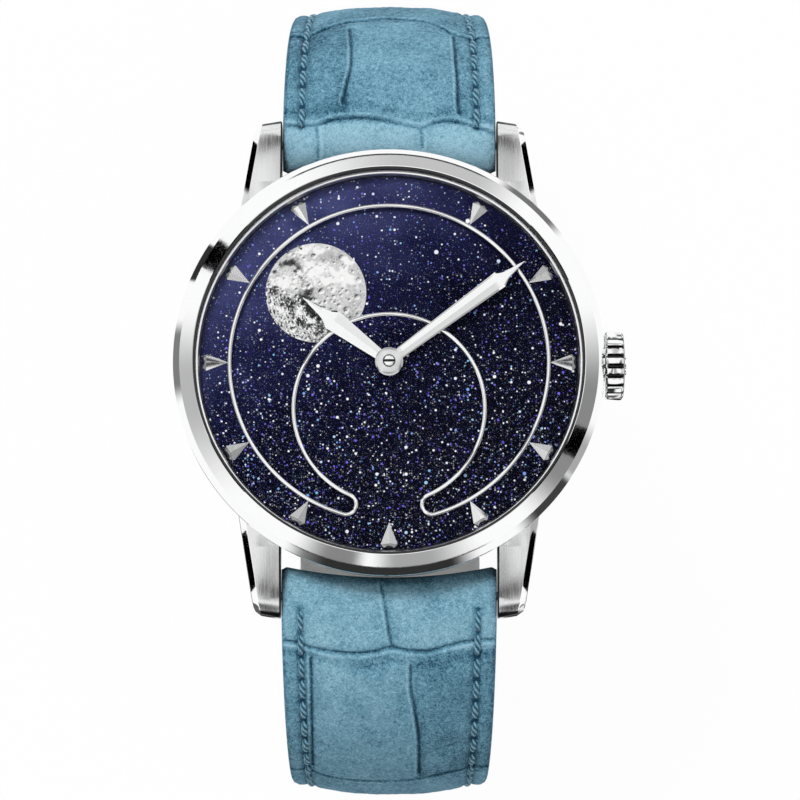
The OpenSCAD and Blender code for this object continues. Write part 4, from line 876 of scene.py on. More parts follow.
def strap_at(s, r):
    """Middle of the strap at length s: distance out, height and heading. Its loop's bottom has radius r."""
    side_l = LUG_ARC_L + r * math.pi / 2
    flat_l = side_l + 2 * STRAP_REACH - r - LOOP_R
    if s < 0:
        return BAR_Y + s * math.cos(DIP), BAR_Z - s * math.sin(DIP), DIP
    if s < LUG_ARC_L:
        a = DIP + s / LUG_ARC_R
        return (
            BAR_Y + LUG_ARC_R * (math.sin(a) - math.sin(DIP)),
            BAR_Z + LUG_ARC_R * (math.cos(a) - math.cos(DIP)),
            a,
        )
    if s < side_l:
        a = math.pi / 2 + (s - LUG_ARC_L) / r
        return STRAP_REACH + r * (math.sin(a) - 1), Z_SIDE + r * math.cos(a), a
    if s < flat_l:
        return STRAP_REACH - r - (s - side_l), Z_SIDE - r, math.pi
    a = math.pi + (s - flat_l) / r
    return LOOP_R - STRAP_REACH + r * math.sin(a), Z_SIDE + r * math.cos(a), a


# Thickness, width and height of the strap at length s from its spring bar


def body_t(s):
    return 2 * END_R + (PAD_T - 2 * END_R) * ease(s / 8) - (PAD_T - TAIL_T) * ease((s - 24) / 30)


def strap_t(s):
    return 2 * math.sqrt(max(0.01, END_R**2 - s * s)) if s < 0 else body_t(s)


def strap_width(s):
    return STRAP_W - 0.04 - (STRAP_W - 0.04 - TAIL_W) * ease((s + 1) / 36)


def short_width(s):
    """The 12 o'clock piece is a little narrower round its highest place."""
    return strap_width(s) - 0.5 * math.exp(-(((s - 21) / 8) ** 2))


def face_drop(s):
    return 0.1 if s < 0 else 0.1 + 0.85 * ease(s / 8) * (body_t(s) - TAIL_T) / (PAD_T - TAIL_T)


def short_t(s):
    if s > SHORT_L:
        return 2 * math.sqrt(max(0.01, BUCKLE_END_R**2 - (s - SHORT_L) ** 2))
    return strap_t(s) + (2 * BUCKLE_END_R - TAIL_T) * ease((s - SHORT_L + 4) / 4)


def long_width(s):
    into_tip = max(0, (s - LONG_L + TIP_L) / TIP_L)
    return strap_width(s) * math.sqrt(max(0.02, 1 - into_tip**2))


# Each piece of the strap: kind, body, side, radius of its loop, length, width and thickness
SHORT = ("short", "strap_12", 1, LOOP_R, SHORT_L, short_width, short_t)
LONG = ("long", "strap_6", -1, TAIL_LOOP_R, LONG_L, long_width, strap_t)

# How much darker the leather is along its edges
EDGE_TONE = 0.16
# Stitching: distance in from the strap's edge, and its start
SEAM_IN = 1.75
SEAM_START = 1.1
STITCH_PITCH = 2.12

# Creases between the scales near the lugs: points (length along the strap, distance across), in mm
TOP_CREASES = [
    [(1.4, -10.06), (1.38, -8.37), (1.45, -6.68), (1.98, -4.9), (2.02, -1.81), (1.57, 0.54), (1.08, 2.97)],
    [(1.08, 2.97), (1.62, 4.47), (1.72, 5.98), (1.2, 8.22), (0.67, 9.91)],
    [(1.37, -6.87), (0.03, -6.68), (-1.27, -6.68)],
    [(1.08, 2.97), (0.2, 3.07), (-0.62, 3.07)],
    [(3.5, -4.38), (4.2, -4.2), (5.54, -3.93), (7.89, -3.55), (12.6, -3.75)],
    [(2.64, 6.54), (3.66, 6.45), (5.64, 6.42), (8.08, 6.29), (11.51, 6.13)],
    [
        (12.63, -9.9), (12.47, -7.39), (13.71, -5.03), (14.38, -1.86), (14.56, 1.29),
        (13.91, 3.68), (12.76, 5.29), (11.91, 6.52), (12.42, 9.9),
    ],
]
TOP_FOLDS = [[
    (2.6, -10.0), (2.3, -7.6), (3.0, -5.4), (3.2, -2.4), (2.7, 0.6), (2.2, 3.2), (2.6, 5.6), (2.2, 8.0),
    (1.6, 9.9),
]]
BOTTOM_CREASES = [
    [(-0.89, -0.75), (0.37, -0.47), (2.37, -0.1), (4.36, 0.27)],
    [
        (3.86, -9.95), (4.0, -8.62), (4.4, -7.32), (4.71, -5.47), (4.86, -3.06), (4.61, -1.03),
        (4.36, 0.27), (4.61, 1.93), (4.61, 3.78), (4.21, 5.63), (3.89, 7.48), (3.77, 9.95),
    ],
    [(5.44, -7.23), (9.12, -7.17), (17.65, -7.18)],
    [(5.96, 2.02), (7.8, 2.03), (10.1, 2.4), (13.15, 2.78), (18.14, 2.79)],
    [
        (19.19, -9.8), (18.98, -7.48), (19.33, -5.6), (19.62, -1.83), (19.39, 1.95), (18.4, 5.71),
        (18.52, 9.8),
    ],
]
BOTTOM_FOLDS = [[
    (4.6, -9.9), (5.1, -7.4), (5.9, -4.6), (6.0, -1.6), (5.4, 0.3), (5.9, 2.4), (5.7, 5.0), (5.0, 7.4),
    (4.7, 9.9),
]]
# From here on, rows of scales are cut across: before it the photo's own creases do that
CUTS_START = 33


def more_creases(start, end):
    """Scales further along: rows that grow shorter, each cut across at two or three places."""
    lines = []
    s = start
    while s < end:
        pitch = 9.5 - 4.0 * min(1.0, (s - 10) / 70) + rng.uniform(-0.8, 0.8)
        s_next = s + pitch
        wave = rng.uniform(-0.5, 0.5, 7)
        lines.append([(s_next + wave[i], x) for i, x in enumerate(np.linspace(-10, 10, 7))])
        for x in np.sort(rng.uniform(-7.5, 7.5, rng.integers(2, 4) if s_next > CUTS_START else 0)):
            bends = zip((0.35, 0.7), rng.uniform(-0.35, 0.35, 2))
            middle = [(s + pitch * at, x + bend) for at, bend in bends]
            lines.append([(s + 0.9, x), *middle, (s_next - 0.4, x)])
        s = s_next
    return lines


def distance_to(lines, s, x):
    """Distance from each point (s, x) to the nearest of the lines, and the side it lies on."""
    best = np.full(s.shape, 9.0)
    side = np.zeros(s.shape)
    for line in lines:
        points = smooth_line(line, 4 * len(line))
        for (s0, x0), (s1, x1) in zip(points[:-1], points[1:]):
            near = (s > min(s0, s1) - 2) & (s < max(s0, s1) + 2)
            if not near.any():
                continue
            ds, dx = s1 - s0, x1 - x0
            ss, xx = s[near] - s0, x[near] - x0
            t = np.clip((ss * ds + xx * dx) / max(1e-9, ds * ds + dx * dx), 0, 1)
            d = np.hypot(ss - t * ds, xx - t * dx)
            closer = d < best[near]
            index = np.flatnonzero(near)[closer]
            best.flat[index] = d[closer]
            side.flat[index] = np.sign((ss * dx - xx * ds)[closer])
    return best, side


def wander(s, x, scale, seed):
    """Smooth random field from a few waves, about -1 to 1."""
    draws = np.random.default_rng(seed)
    total = np.zeros(s.shape)
    for _ in range(9):
        a = draws.uniform(0, 2 * math.pi)
        f = draws.uniform(0.5, 1.6) / scale
        total += np.sin((s * math.cos(a) + x * math.sin(a)) * f * 2 * math.pi + draws.uniform(0, 6.3))
    return total / 4


def face_height(s, u, sign, t):
    """Height of the smooth face over the strap's middle line, at share u of its half width."""
    # It lies a little lower round s = 20 at 12, and its middle a little prouder at 6
    near = math.exp(-(((s - 20) / 9) ** 2))
    drop = min(face_drop(s) * (1 - 0.15 * near), t * 0.3)
    settled = -0.48 * near if sign > 0 else 0.12 * near * (1 - u * u)
    # Flat outside the stitching
    return t / 2 - drop * np.minimum(1, np.abs(u) / 0.84) ** 2.6 + settled


def scale_light_and_shade(s, x, top):
    """Painted light and shade: each scale is made a little lighter or darker as the light falls on it."""

    def past(value, at):
        return ease((value - at) / 0.5 + 0.5)

    if top:
        left, right = past(x, -3.9), past(x, 6.3)
        row = past(s, 2.4) * (1 - past(s, 13.6))
        tone = row * (0.19 * (1 - left) - 0.02 * left * (1 - right) + 0.02 * right)
        tone += 0.05 * ease((s - 4) / 8) * (1 - past(s, 13.6)) + 0.12 * past(s, 13.6)
        return tone - 0.36 * (1 - past(s, 1.6))
    left, right = past(x, -7.2), past(x, 2.4)
    row = past(s, 4.6) * (1 - past(s, 19.2))
    tone = row * (-0.06 * left * (1 - right) + 0.14 * right + 0.04 * (1 - left))
    tone += 0.05 * ease((s - 5) / 12) - 0.17 * (1 - past(s, 4.6))
    # Painted light on the left of the large scale, and painted shade where the end turns down to the case
    tone -= 0.10 * np.exp(-(((x + 5.5) / 2.4) ** 2) - ((s - 8) / 5) ** 2)
    return tone + 0.45 * ease((-s - 0.75) / 0.6) * (1 - 0.8 * ease(np.abs(x) / 9.5))


def strap_leather(part, creases, folds, low_at):
    """Padded leather: creases, lips, folds and a channel for the stitching are pressed into its face."""
    kind, body, sign, loop_r, length, width_at, t_at = part
    # Points across the top, of which every fifth has its match below
    across, every = 176, 5
    stations = [END_R * math.sin(math.radians(a)) for a in range(-84, 0, 7)]
    stations += [*np.arange(0, 23, 0.15), *np.arange(23, length - (TIP_L if sign < 0 else 0), 0.32)]
    if sign < 0:
        stations += [length - TIP_L + TIP_L * math.sin(math.radians(a)) for a in np.linspace(0, 88, 30)]
    else:
        stations += [length + BUCKLE_END_R * math.sin(math.radians(a)) for a in range(0, 83, 12)]
    stations = np.array(stations)
    # Shares of the half width, closer together towards the edges
    even, bend = np.linspace(-1, 1, across), math.pi / 2 * 0.93
    u = 0.985 * (0.6 * np.sin(even * bend) / math.sin(bend) + 0.4 * even)
    widths = np.array([width_at(s) for s in stations])
    s_grid = np.repeat(stations[:, None], across, 1)
    x_grid = widths[:, None] / 2 * u[None, :]
    d, side = distance_to(creases, s_grid, x_grid)
    d_fold, _ = distance_to(folds, s_grid, x_grid)
    room = ease((s_grid - 0.2) / 1.5) * ease((length + 0.3 - s_grid) / 2)
    edge = np.abs(u)[None, :]
    wide = 0.135 + 0.025 * wander(s_grid, x_grid, 3.0, 5)
    groove = np.exp(-((d / wide) ** 2))
    lip = np.exp(-(((d - 0.32) / 0.13) ** 2)) * (side > 0)
    puff = 1 - np.exp(-d / 1.1)
    fold = np.exp(-((d_fold / 0.3) ** 2))
    seam_d = np.abs(widths[:, None] / 2 - np.abs(x_grid) - SEAM_IN)
    seam_on = ease((s_grid - SEAM_START + 0.5) / 0.6) * (edge < 1)
    if sign < 0:
        tip_r = np.hypot(np.maximum(0, s_grid - (length - TIP_L)) / TIP_L, edge)
        round_tip = np.abs((1 - tip_r) * TIP_L - SEAM_IN)
        seam_d = np.minimum(seam_d, np.where(s_grid > length - TIP_L, round_tip, 9))
    channel = np.exp(-((seam_d / 0.42) ** 2)) * seam_on
    relief = (
        -0.26 * groove + 0.09 * lip + 0.16 * puff - 0.10 - 0.09 * fold
        - 0.26 * channel + 0.035 * wander(s_grid, x_grid, 4.0, 7) + 0.025 * wander(s_grid, x_grid, 0.9, 8)
    )
    relief = relief * (0.25 + 0.75 * room) * ease((1 - edge) / 0.05)
    soft_dip = np.exp(-((d / 0.6) ** 2))
    hole_s = (s_grid - SEAM_START) % STITCH_PITCH
    hole_d = np.hypot(np.minimum(hole_s, STITCH_PITCH - hole_s), seam_d)
    holes = np.exp(-((hole_d / 0.34) ** 2)) * seam_on
    # Painted shade down in the creases, folds, stitching channel and holes, and a painted highlight on the
    # lips
    shade = 0.40 * groove + 0.11 * soft_dip + 0.15 * fold + 0.24 * channel + 0.45 * holes - 0.34 * lip - 0.02
    shade += 0.05 * wander(s_grid, x_grid, 6.0, 9) + EDGE_TONE * ease((edge - 0.955) / 0.03)
    shade += scale_light_and_shade(s_grid, x_grid, sign > 0)
    loops, tones = [], []
    for i, s in enumerate(stations):
        y, z, a = strap_at(s, loop_r)
        t, w = t_at(s), widths[i]
        low = low_at(s)
        rolled = 0.14 * ease((np.abs(u) - 0.93) / 0.055) * min(1, t / 2)
        n_top = face_height(s, u, sign, t) - rolled + relief[i]
        brim = face_height(s, 1, sign, t) - 0.36 * min(1, t / 2)
        below = x_grid[i][::-every]
        x = np.concatenate([x_grid[i], [w / 2, w / 2], below, [-w / 2, -w / 2]])
        n = np.concatenate([n_top, [brim, low + 0.08], np.full(len(below), low), [low + 0.08, brim]])
        # The end is cut to a curve round the case: short in the middle, long at its corners
        corner = ease((np.abs(x) / (w / 2) - 0.93) / 0.07)
        ahead = s * (0.99 + 0.62 * (x / 10) ** 2 - 0.18 * corner**2 - 1) if s < 0 else 0 * x
        along = ahead * math.cos(a)
        height = z - ahead * math.sin(a) + n * math.cos(a)
        loops.append(np.stack([x, sign * (y + along + n * math.sin(a)), height], 1))
        tones.append(np.concatenate([shade[i], [0.16, 0.25], np.full(len(below), 0.3), [0.25, 0.16]]))
    verts, faces = skin(loops, caps=False)
    rounds = len(loops[0])
    for start in (0, (len(loops) - 1) * rounds):
        # Both ends curve, so each is closed by a strip of narrow faces
        for k in range(0, across - 1, every):
            under = across + 1 + (across - 1 - k) // every
            strip = list(range(k, k + every + 1)) + [under, under + 1]
            faces.append(tuple(start + j for j in strip))
        right = [across - 1, across, across + 1, across + 2]
        left = [rounds - 2, rounds - 1, 0, rounds - 3]
        faces.append(tuple(start + j for j in right))
        faces.append(tuple(start + j for j in left))
    made = piece(
        f"strap_{kind}_leather", (verts, faces), body, "blue_leather", [LEATHER], [f"{body}_leather"],
        sharp=60, crease=np.concatenate(tones),
    )
    return made


def strap_lining(part, stations):
    kind, body, sign, loop_r, _, width_at, t_at = part
    loops = []
    for s in stations:
        y, z, a = strap_at(s, loop_r)
        t, w = t_at(s), width_at(s) - 0.1
        # Distance in from the edge, and height over the underside
        rim = np.array([(0, LINING_T), (0, 0.3), (0.06, 0.12), (0.22, 0.02)])
        flat = np.linspace(w / 2 - 0.6, 0.6 - w / 2, 15)
        x = np.concatenate([[-w / 2], w / 2 - rim[:, 0], flat, rim[:0:-1, 0] - w / 2])
        n = np.concatenate([[LINING_T], rim[:, 1], 0 * flat, rim[:0:-1, 1]]) - t / 2
        loops.append(np.stack([x, sign * (y + n * math.sin(a)), z + n * math.cos(a)], 1))
    return piece(
        f"strap_{kind}_lining", skin(loops), body, "lining_leather", [LINING], [f"{body}_lining"], sharp=50,
        crease=np.zeros(len(loops) * len(loops[0])),
    )


def stitch(centre, along, up):
    """One stitch of twisted thread that dips into the leather at both ends."""
    length, r, flat = STITCH_PITCH * 0.94, 0.31, 0.85
    across = np.cross(along, up)
    around, steps, plies = 18, 18, 3
    loops, tones = [], []
    for i in range(steps + 1):
        f = i / steps * 2 - 1
        size = r * max(0.12, math.sqrt(max(0, 1 - abs(f) ** 3.2)))
        at = centre + along * f * length / 2 + up * (-0.28 * abs(f) ** 4)
        ring, tone = [], []
        for j in range(around):
            a = 2 * math.pi * j / around
            twist = 0.5 + 0.5 * math.cos(plies * a - f * 9.0)
            q = size * (0.76 + 0.28 * twist)
            ring.append(at + across * q * math.cos(a) + up * q * flat * math.sin(a))
            # Painted shade in the grooves between the plies
            tone.append(0.75 * (1 - twist) ** 1.5)
        loops.append(ring)
        tones.append(tone)
    return skin(loops), np.array(tones).reshape(-1)


def strap_stitches(part, end):
    """Stitches along both edges, and round the long piece's tip."""
    kind, body, sign, loop_r, length, width_at, t_at = part
    places = []
    for hand in (-1, 1):
        for s in np.arange(SEAM_START + STITCH_PITCH / 2, end, STITCH_PITCH):
            places.append((s, hand * (width_at(s) / 2 - SEAM_IN), 0.0, hand))
    rx, rs = width_at(end) / 2 - SEAM_IN, length - end - SEAM_IN
    if kind == "long":
        for a in (np.arange(13) + 0.5) * math.pi / 13:
            places.append((end + rs * math.sin(a), rx * math.cos(a), a, 0))
    parts, tones = [], []
    for s, x, a_tip, hand in places:
        y, z, a = strap_at(s, loop_r)
        t, w = t_at(s), width_at(s)
        n = face_height(s, min(1, abs(2 * x / w)), sign, t) - 0.10
        up = np.array([0, sign * math.sin(a), math.cos(a)])
        forward = np.array([0, sign * math.cos(a), -math.sin(a)])
        centre = np.array([x, sign * (y + n * math.sin(a)), z + n * math.cos(a)])
        slope = (width_at(s + 0.5) - width_at(s - 0.5)) / 2 * hand
        along = forward + np.array([slope, 0, 0])
        if hand == 0:
            along = forward * rs * math.cos(a_tip) - np.array([rx * math.sin(a_tip), 0, 0])
        geometry, tone = stitch(centre, along / np.linalg.norm(along), up)
        parts.append(geometry)
        tones.append(tone)
    piece(
        f"strap_{kind}_stitches", merge(parts), body, "blue_leather", [THREAD], sharp=60,
        crease=np.concatenate(tones),
    )


def cut_away(target, cutters):
    """Takes closed (vertices, faces) out of a piece."""
    cutter = add_object("cutter", outward_mesh("cutter", merge(cutters)))
    change = target.modifiers.new("cut", "BOOLEAN")
    change.operation, change.solver, change.object = "DIFFERENCE", "EXACT", cutter
    graph = bpy.context.evaluated_depsgraph_get()
    result = bpy.data.meshes.new_from_object(target.evaluated_get(graph))
    target.modifiers.clear()
    target.data = result
    bpy.data.objects.remove(cutter)


def tube_between(a, b, r, steps=40):
    """Closed cylinder from point a to b."""
    a, b = np.asarray(a, float), np.asarray(b, float)
    along = (b - a) / np.linalg.norm(b - a)
    side = np.cross(along, [1, 0, 0] if abs(along[0]) < 0.9 else [0, 1, 0])
    side /= np.linalg.norm(side)
    other = np.cross(along, side)
    t = np.linspace(0, 2 * math.pi, steps, endpoint=False)
    ring = np.outer(np.cos(t), side) + np.outer(np.sin(t), other)
    return skin([a + ring * r, b + ring * r])


def strap_hole(i):
    y, z, a = strap_at(LONG_L - 27 - i * HOLE_PITCH, TAIL_LOOP_R)
    out = np.array([0, math.sin(a), math.cos(a)])
    mirror = np.array([1, -1, 1])
    middle = np.array([0, y, z])
    return tube_between((middle - out * 3) * mirror, (middle + out * 3) * mirror, HOLE_W / 2)


def box_geometry(low, high):
    (x0, y0, z0), (x1, y1, z1) = low, high
    return skin([[(x0, y0, z), (x1, y0, z), (x1, y1, z), (x0, y1, z)] for z in (z0, z1)])


def build_strap():
    buckle_y, buckle_z, _ = strap_at(SHORT_L, LOOP_R)
    lining_end = SHORT_L - 4
    top = strap_leather(
        SHORT, TOP_CREASES + more_creases(14.0, lining_end), TOP_FOLDS,
        lambda s: (LINING_T if LINING_START < s < lining_end else 0) - short_t(s) / 2,
    )
    half = TONGUE_W / 2 + 0.4
    cut_away(top, [box_geometry((-half, buckle_y - 3, buckle_z - 3), (half, buckle_y + 2, buckle_z + 3))])
    long_part = strap_leather(
        LONG, BOTTOM_CREASES + more_creases(19.4, LONG_L - 4), BOTTOM_FOLDS,
        lambda s: (LINING_T if s > LINING_START else 0) - strap_t(s) / 2,
    )
    holes = [strap_hole(i) for i in range(7)]
    cut_away(long_part, holes)
    first = LINING_START + 0.05
    strap_lining(SHORT, [first, *np.arange(3, lining_end - 0.2, 0.8), lining_end - 0.1])
    tip = [LONG_L - TIP_L + TIP_L * math.sin(math.radians(a)) for a in np.linspace(4, 87, 24)]
    cut_away(strap_lining(LONG, [first, *np.arange(3, LONG_L - TIP_L, 0.8), *tip]), holes)
    strap_stitches(SHORT, SHORT_L - 6)
    strap_stitches(LONG, LONG_L - TIP_L)


def build_keepers():
    buckle_y, buckle_z, _ = strap_at(SHORT_L, LOOP_R)
    fixed_y = buckle_y + 3.2 + KEEPER_W / 2
    inside_w, inside_h = TAIL_W + 0.5, TAIL_T + KEEPER_ROOM + 0.1
    middle_z = buckle_z + (0.1 - KEEPER_ROOM) / 2
    half_w, half_h, r = inside_w / 2 + KEEPER_T / 2, inside_h / 2 + KEEPER_T / 2, 0.95
    # The keeper's middle line round the strap, with its headings
    line = []
    for a0, sx, sz in ((0, 1, 1), (90, -1, 1), (180, -1, -1), (270, 1, -1)):
        corner = arc((sx * (half_w - r), sz * (half_h - r)), r, a0, a0 + 90, 8)
        line += zip(corner, np.radians(np.linspace(a0, a0 + 90, 9)))
    # Across the keeper's width, and out from the middle of its leather
    w, t = KEEPER_W / 2, KEEPER_T / 2
    section = [
        (-w, -t + 0.1), (-w + 0.1, -t), (w - 0.1, -t), (w, -t + 0.1), (w, t - 0.25), (w - 0.1, t - 0.1),
        (w - 0.3, t - 0.02), (w - 0.5, t), (w - 0.75, t - 0.02), (w - 0.85, t - 0.12), (w - 0.95, t - 0.02),
        (w - 1.2, t),
    ]
    section += [(-y, n) for y, n in section[:3:-1]]
    for name, y, body in (("fixed", fixed_y, "strap_12"), ("free", fixed_y + KEEPER_W + 1.4, "keeper_free")):
        loops, tones = [], []
        for (x, z), a in line:
            out = np.array([math.cos(a), 0, math.sin(a)])
            loops.append([np.array([x, y + across, middle_z + z]) + out * n for across, n in section])
            # Painted shade in the groove near each edge
            tones.append([0.35 if n < t - 0.1 and n > 0.2 else 0.05 for _, n in section])
        piece(
            f"keeper_{name}_leather", skin(loops, closed=True), body, "blue_leather", [LEATHER],
            [f"keeper_{name}"], sharp=70, crease=np.array(tones).reshape(-1),
        )


# CAD nodes that stay: each gets a material, and softened edges where they show


def dress_nodes():
    # Every node that isn't listed is of fine steel
    looks = (
        (AVENTURINE, "dial_plate moon_disc"),
        (MARKER_STEEL, "hour_markers"),
        (RUBBER, "crystal_gasket case_back_gasket crown_gasket"),
        (TURNED, "casing_ring case_back"),
        (BRIDGE, "barrel_bridge train_bridge balance_cock rotor"),
        (RUBY, "jewels"),
        (WINDOW, "case_back_window"),
        (POLISHED, "buckle_frame buckle_tongue"),
        (GILT, "main_plate hour_wheel minute_wheel moon_finger_wheel moon_star mainspring_barrel"),
        (GILT, "centre_wheel third_wheel fourth_wheel balance_wheel"),
    )
    finish = {node: look for look, nodes in looks for node in nodes.split()}
    bevels = {
        "hour_markers": 0.015, "buckle_frame": 0.3, "buckle_tongue": 0.2, "case_back": 0.05,
        "barrel_bridge": 0.06, "train_bridge": 0.06, "balance_cock": 0.06, "rotor": 0.06, "buckle_bar": 0.1,
    }
    for node, made in NODES.items():
        made.data.materials.clear()
        made.data.materials.append(finish.get(node, FINE_STEEL))
        if node in bevels:
            weld = made.modifiers.new("weld", "WELD")
            weld.merge_threshold = 0.002 * MM
            soft = made.modifiers.new("edges", "BEVEL")
            soft.width, soft.segments, soft.limit_method = bevels[node] * MM, 3, "ANGLE"
            soft.angle_limit = math.radians(30)
            soft.harden_normals = node != "hour_markers"


# Stage


ELEVATION = math.radians(81.3)


def place_camera():
    """Long lens from the front, a little below the dial's axis."""
    lens, distance = 243.5, 0.5
    shift_right, shift_up = 1.006 * MM, -3.678 * MM
    back = Vector((0, -math.cos(ELEVATION), math.sin(ELEVATION)))
    up = Vector((0, math.sin(ELEVATION), math.cos(ELEVATION)))
    target = Vector((shift_right, 0, 9 * MM)) + up * shift_up
    data = bpy.data.cameras.new("camera")
    data.lens, data.sensor_width = lens, 36
    data.clip_start, data.clip_end = 0.01, 10
    camera = add_object("camera", data)
    camera.location = target + back * distance
    camera.rotation_mode = "QUATERNION"
    camera.rotation_quaternion = (-back).to_track_quat("-Z", "Y")
    bpy.context.scene.camera = camera


def seen_directly(tree):
    """1 for rays from the camera, mirrors and glass, and 0 for light that falls on the object."""
    path = join(tree, "ShaderNodeLightPath")
    either = maths(tree, "MAXIMUM", path.outputs["Is Camera Ray"], path.outputs["Is Glossy Ray"])
    return maths(tree, "MAXIMUM", either, path.outputs["Is Transmission Ray"])


def build_stage():
    """White world and floor, both dimmer for the light that falls on the object."""
    world = bpy.data.worlds.new("studio")
    bpy.context.scene.world = world
    world.use_nodes = True
    tree = world.node_tree
    background = tree.nodes["Background"]
    background.inputs["Color"].default_value = (1, 1, 1, 1)
    drive(background, "Strength", span(tree, seen_directly(tree), 0, 1, 0.40, 1.0))

    size, floor_z = 0.9, CAD_LOW.z - 0.02 * MM
    mesh = bpy.data.meshes.new("floor")
    corners = ((-size, -size), (size, -size), (size, size), (-size, size))
    mesh.from_pydata([(x, y, floor_z) for x, y in corners], [], [(0, 1, 2, 3)])
    floor = add_object("floor", mesh)
    made, tree, shader = material("floor", (0.9, 0.9, 0.9), 0.9, Specular_IOR_Level=0.1)
    glow = join(tree, "ShaderNodeEmission", [("Color", (1, 1, 1, 1)), ("Strength", 1.0)])
    share = maths(tree, "MULTIPLY", seen_directly(tree), 0.97)
    mix = join(tree, "ShaderNodeMixShader", [(0, share), (1, shader.outputs[0]), (2, glow.outputs[0])])
    tree.links.new(mix.outputs[0], tree.nodes["Material Output"].inputs["Surface"])
    mesh.materials.append(made)


def softbox(name, azimuth, elevation, distance, size, strength):
    """Area lamp that faces the watch."""
    data = bpy.data.lights.new(name, "AREA")
    data.shape, data.size = "DISK", size
    data.energy = strength
    lamp = add_object(name, data)
    a, e = math.radians(azimuth), math.radians(elevation)
    out = Vector((math.cos(a) * math.cos(e), math.sin(a) * math.cos(e), math.sin(e)))
    lamp.location = out * distance
    lamp.rotation_mode = "QUATERNION"
    lamp.rotation_quaternion = out.to_track_quat("Z", "Y")
    return lamp


def reflection_card(name, azimuths, leans, grey, soft=(0, 0), distance=0.8):
    """What mirrors show where they lean those ways, in degrees, as seen by the camera. Only mirrors see it.

    It starts from the bezel's edge, and its two ends fade over soft degrees.
    """
    toward = Vector((0, -math.cos(ELEVATION), math.sin(ELEVATION)))
    across, down = 37, 11
    verts, fade = [], []
    for lean in np.radians(np.linspace(*leans, down)):
        for degrees in np.linspace(*azimuths, across):
            a = math.radians(degrees)
            out = Vector((math.cos(a), math.sin(a), 0))
            normal = math.sin(lean) * out + Vector((0, 0, math.cos(lean)))
            mirrored = 2 * normal.dot(toward) * normal - toward
            edge = (BEZEL_R * out + Vector((0, 0, BEZEL_TOP - 1))) * MM
            verts.append(edge + mirrored * distance)
            ends = [(degrees - azimuths[0], soft[0]), (azimuths[1] - degrees, soft[1])]
            fade.append(min(ease(inside / width) if width else 1.0 for inside, width in ends))
    faces = [
        (i * across + j, i * across + j + 1, (i + 1) * across + j + 1, (i + 1) * across + j)
        for i in range(down - 1) for j in range(across - 1)
    ]
    mesh = bpy.data.meshes.new(name)
    mesh.from_pydata(verts, [], faces)
    write_values(mesh, "fade", fade)
    card = add_object(name, mesh)
    made = bpy.data.materials.new(name)
    made.use_nodes = True
    tree = made.node_tree
    tree.nodes.remove(tree.nodes["Principled BSDF"])
    glow = join(tree, "ShaderNodeEmission", [("Color", (grey, grey, grey, 1)), ("Strength", 1.0)])
    there = join(tree, "ShaderNodeAttribute", attribute_name="fade").outputs["Fac"]
    passed = join(tree, "ShaderNodeBsdfTransparent")
    mix = join(tree, "ShaderNodeMixShader", [(0, there), (1, passed.outputs[0]), (2, glow.outputs[0])])
    tree.links.new(mix.outputs[0], tree.nodes["Material Output"].inputs["Surface"])
    mesh.materials.append(made)
    card.visible_camera = card.visible_diffuse = card.visible_shadow = False
    card.visible_transmission = card.visible_volume_scatter = False


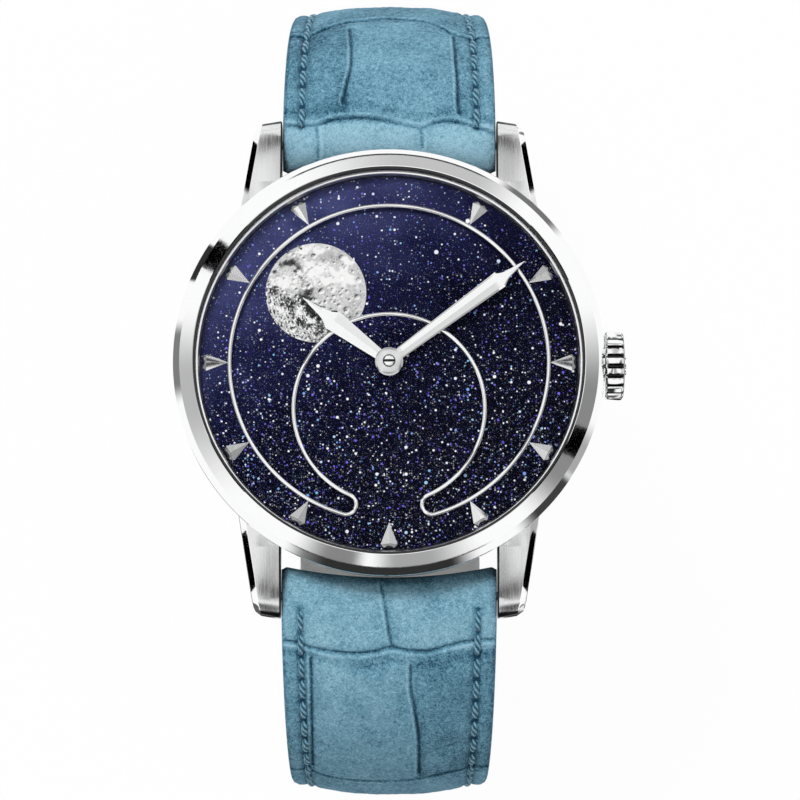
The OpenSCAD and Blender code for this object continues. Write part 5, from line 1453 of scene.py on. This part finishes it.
def light():
    """Two lamps for the light on the object, and the cards that give the steel its tones."""
    for lamp in (softbox("key", 125, 60, 0.7, 0.2, 3.2), softbox("fill", -40, 45, 0.8, 0.5, 0.8)):
        lamp.visible_glossy = False
    # For the bezel's broad face and the lugs near it: azimuths, grey, soft ends
    flat_cards = (
        ((144, 153), 0.0, (0, 0)),
        ((332, 341), 0.0, (0, 0)),
        ((341, 378), 0.25, (0, 27)),
        ((310, 332), 0.26, (16, 0)),
        ((48, 118), 0.55, (18, 34)),
        ((164, 224), 0.48, (20, 32)),
        ((241, 264), 0.24, (12, 5)),
        ((264, 298), 0.38, (8, 18)),
    )
    for number, (azimuths, grey, soft) in enumerate(flat_cards):
        reflection_card(f"card_face_{number}", azimuths, (11, 24), grey, soft, 0.80 + 0.01 * number)
    # For steeper faces: azimuths, leans, grey, soft ends, distance
    close = 0.043
    steep_cards = (
        ((36, 60), (44, 64), 0.18, (6, 6), close),
        ((168, 192), (44, 84), 0.21, (5, 6), close),
        ((240, 260), (44, 64), 0.24, (7, 6), close),
        ((306, 328), (44, 84), 0.05, (8, 3), close),
        ((326, 344), (44, 64), 0.40, (3, 8), 0.044),
        ((146, 158), (44, 64), 0.03, (1, 1), close),
        ((244, 296), (44, 64), 0.03, (9, 9), 0.0425),
        # Middle of the lugs' bevels
        ((203, 223), (31, 42), 0.0, (0, 0), 0.6),
        ((317, 337), (31, 42), 0.0, (0, 0), 0.6),
        ((24, 44), (31, 42), 0.0, (3, 0), 0.6),
        ((136, 156), (31, 42), 0.0, (0, 3), 0.6),
        # Tops of the lugs, halfway and at the tips
        ((60, 120), (22.6, 30), 0.02, (5, 5), 0.75),
        ((240, 300), (22.6, 30), 0.02, (5, 5), 0.75),
        ((60, 120), (42, 50), 0.0, (5, 5), 0.70),
        ((240, 300), (42, 50), 0.0, (5, 5), 0.70),
        # Edges of the hands and facets of the markers
        ((-75, 30), (24, 33), 0.42, (10, 20), 0.90),
        ((100, 170), (24, 33), 0.72, (10, 10), 0.90),
        ((-80, -25), (5, 10.5), 0.76, (8, 8), 0.95),
        ((25, 80), (5, 10.5), 0.86, (8, 8), 0.95),
    )
    for number, (azimuths, leans, grey, soft, distance) in enumerate(steep_cards):
        reflection_card(f"card_steep_{number}", azimuths, leans, grey, soft, distance)
    # The outline of everything round, and painted shade: a dark sheet close under the watch in place of the
    # ground's shade
    reflection_card("card_outline", (200, 308), (64, 84), 0.12, (12, 8), 0.042)
    reflection_card("card_painted_ground_shade", (0, 360), (84, 90), 0.03, distance=0.046)


bpy.context.scene.view_settings.view_transform = "Standard"
build_case_ring()
build_lugs()
build_bezel()
build_crystal()
build_rehaut()
build_wire()
build_moon()
build_hands()
build_cap()
build_crown()
build_strap()
build_keepers()
dress_nodes()
place_camera()
build_stage()
light()
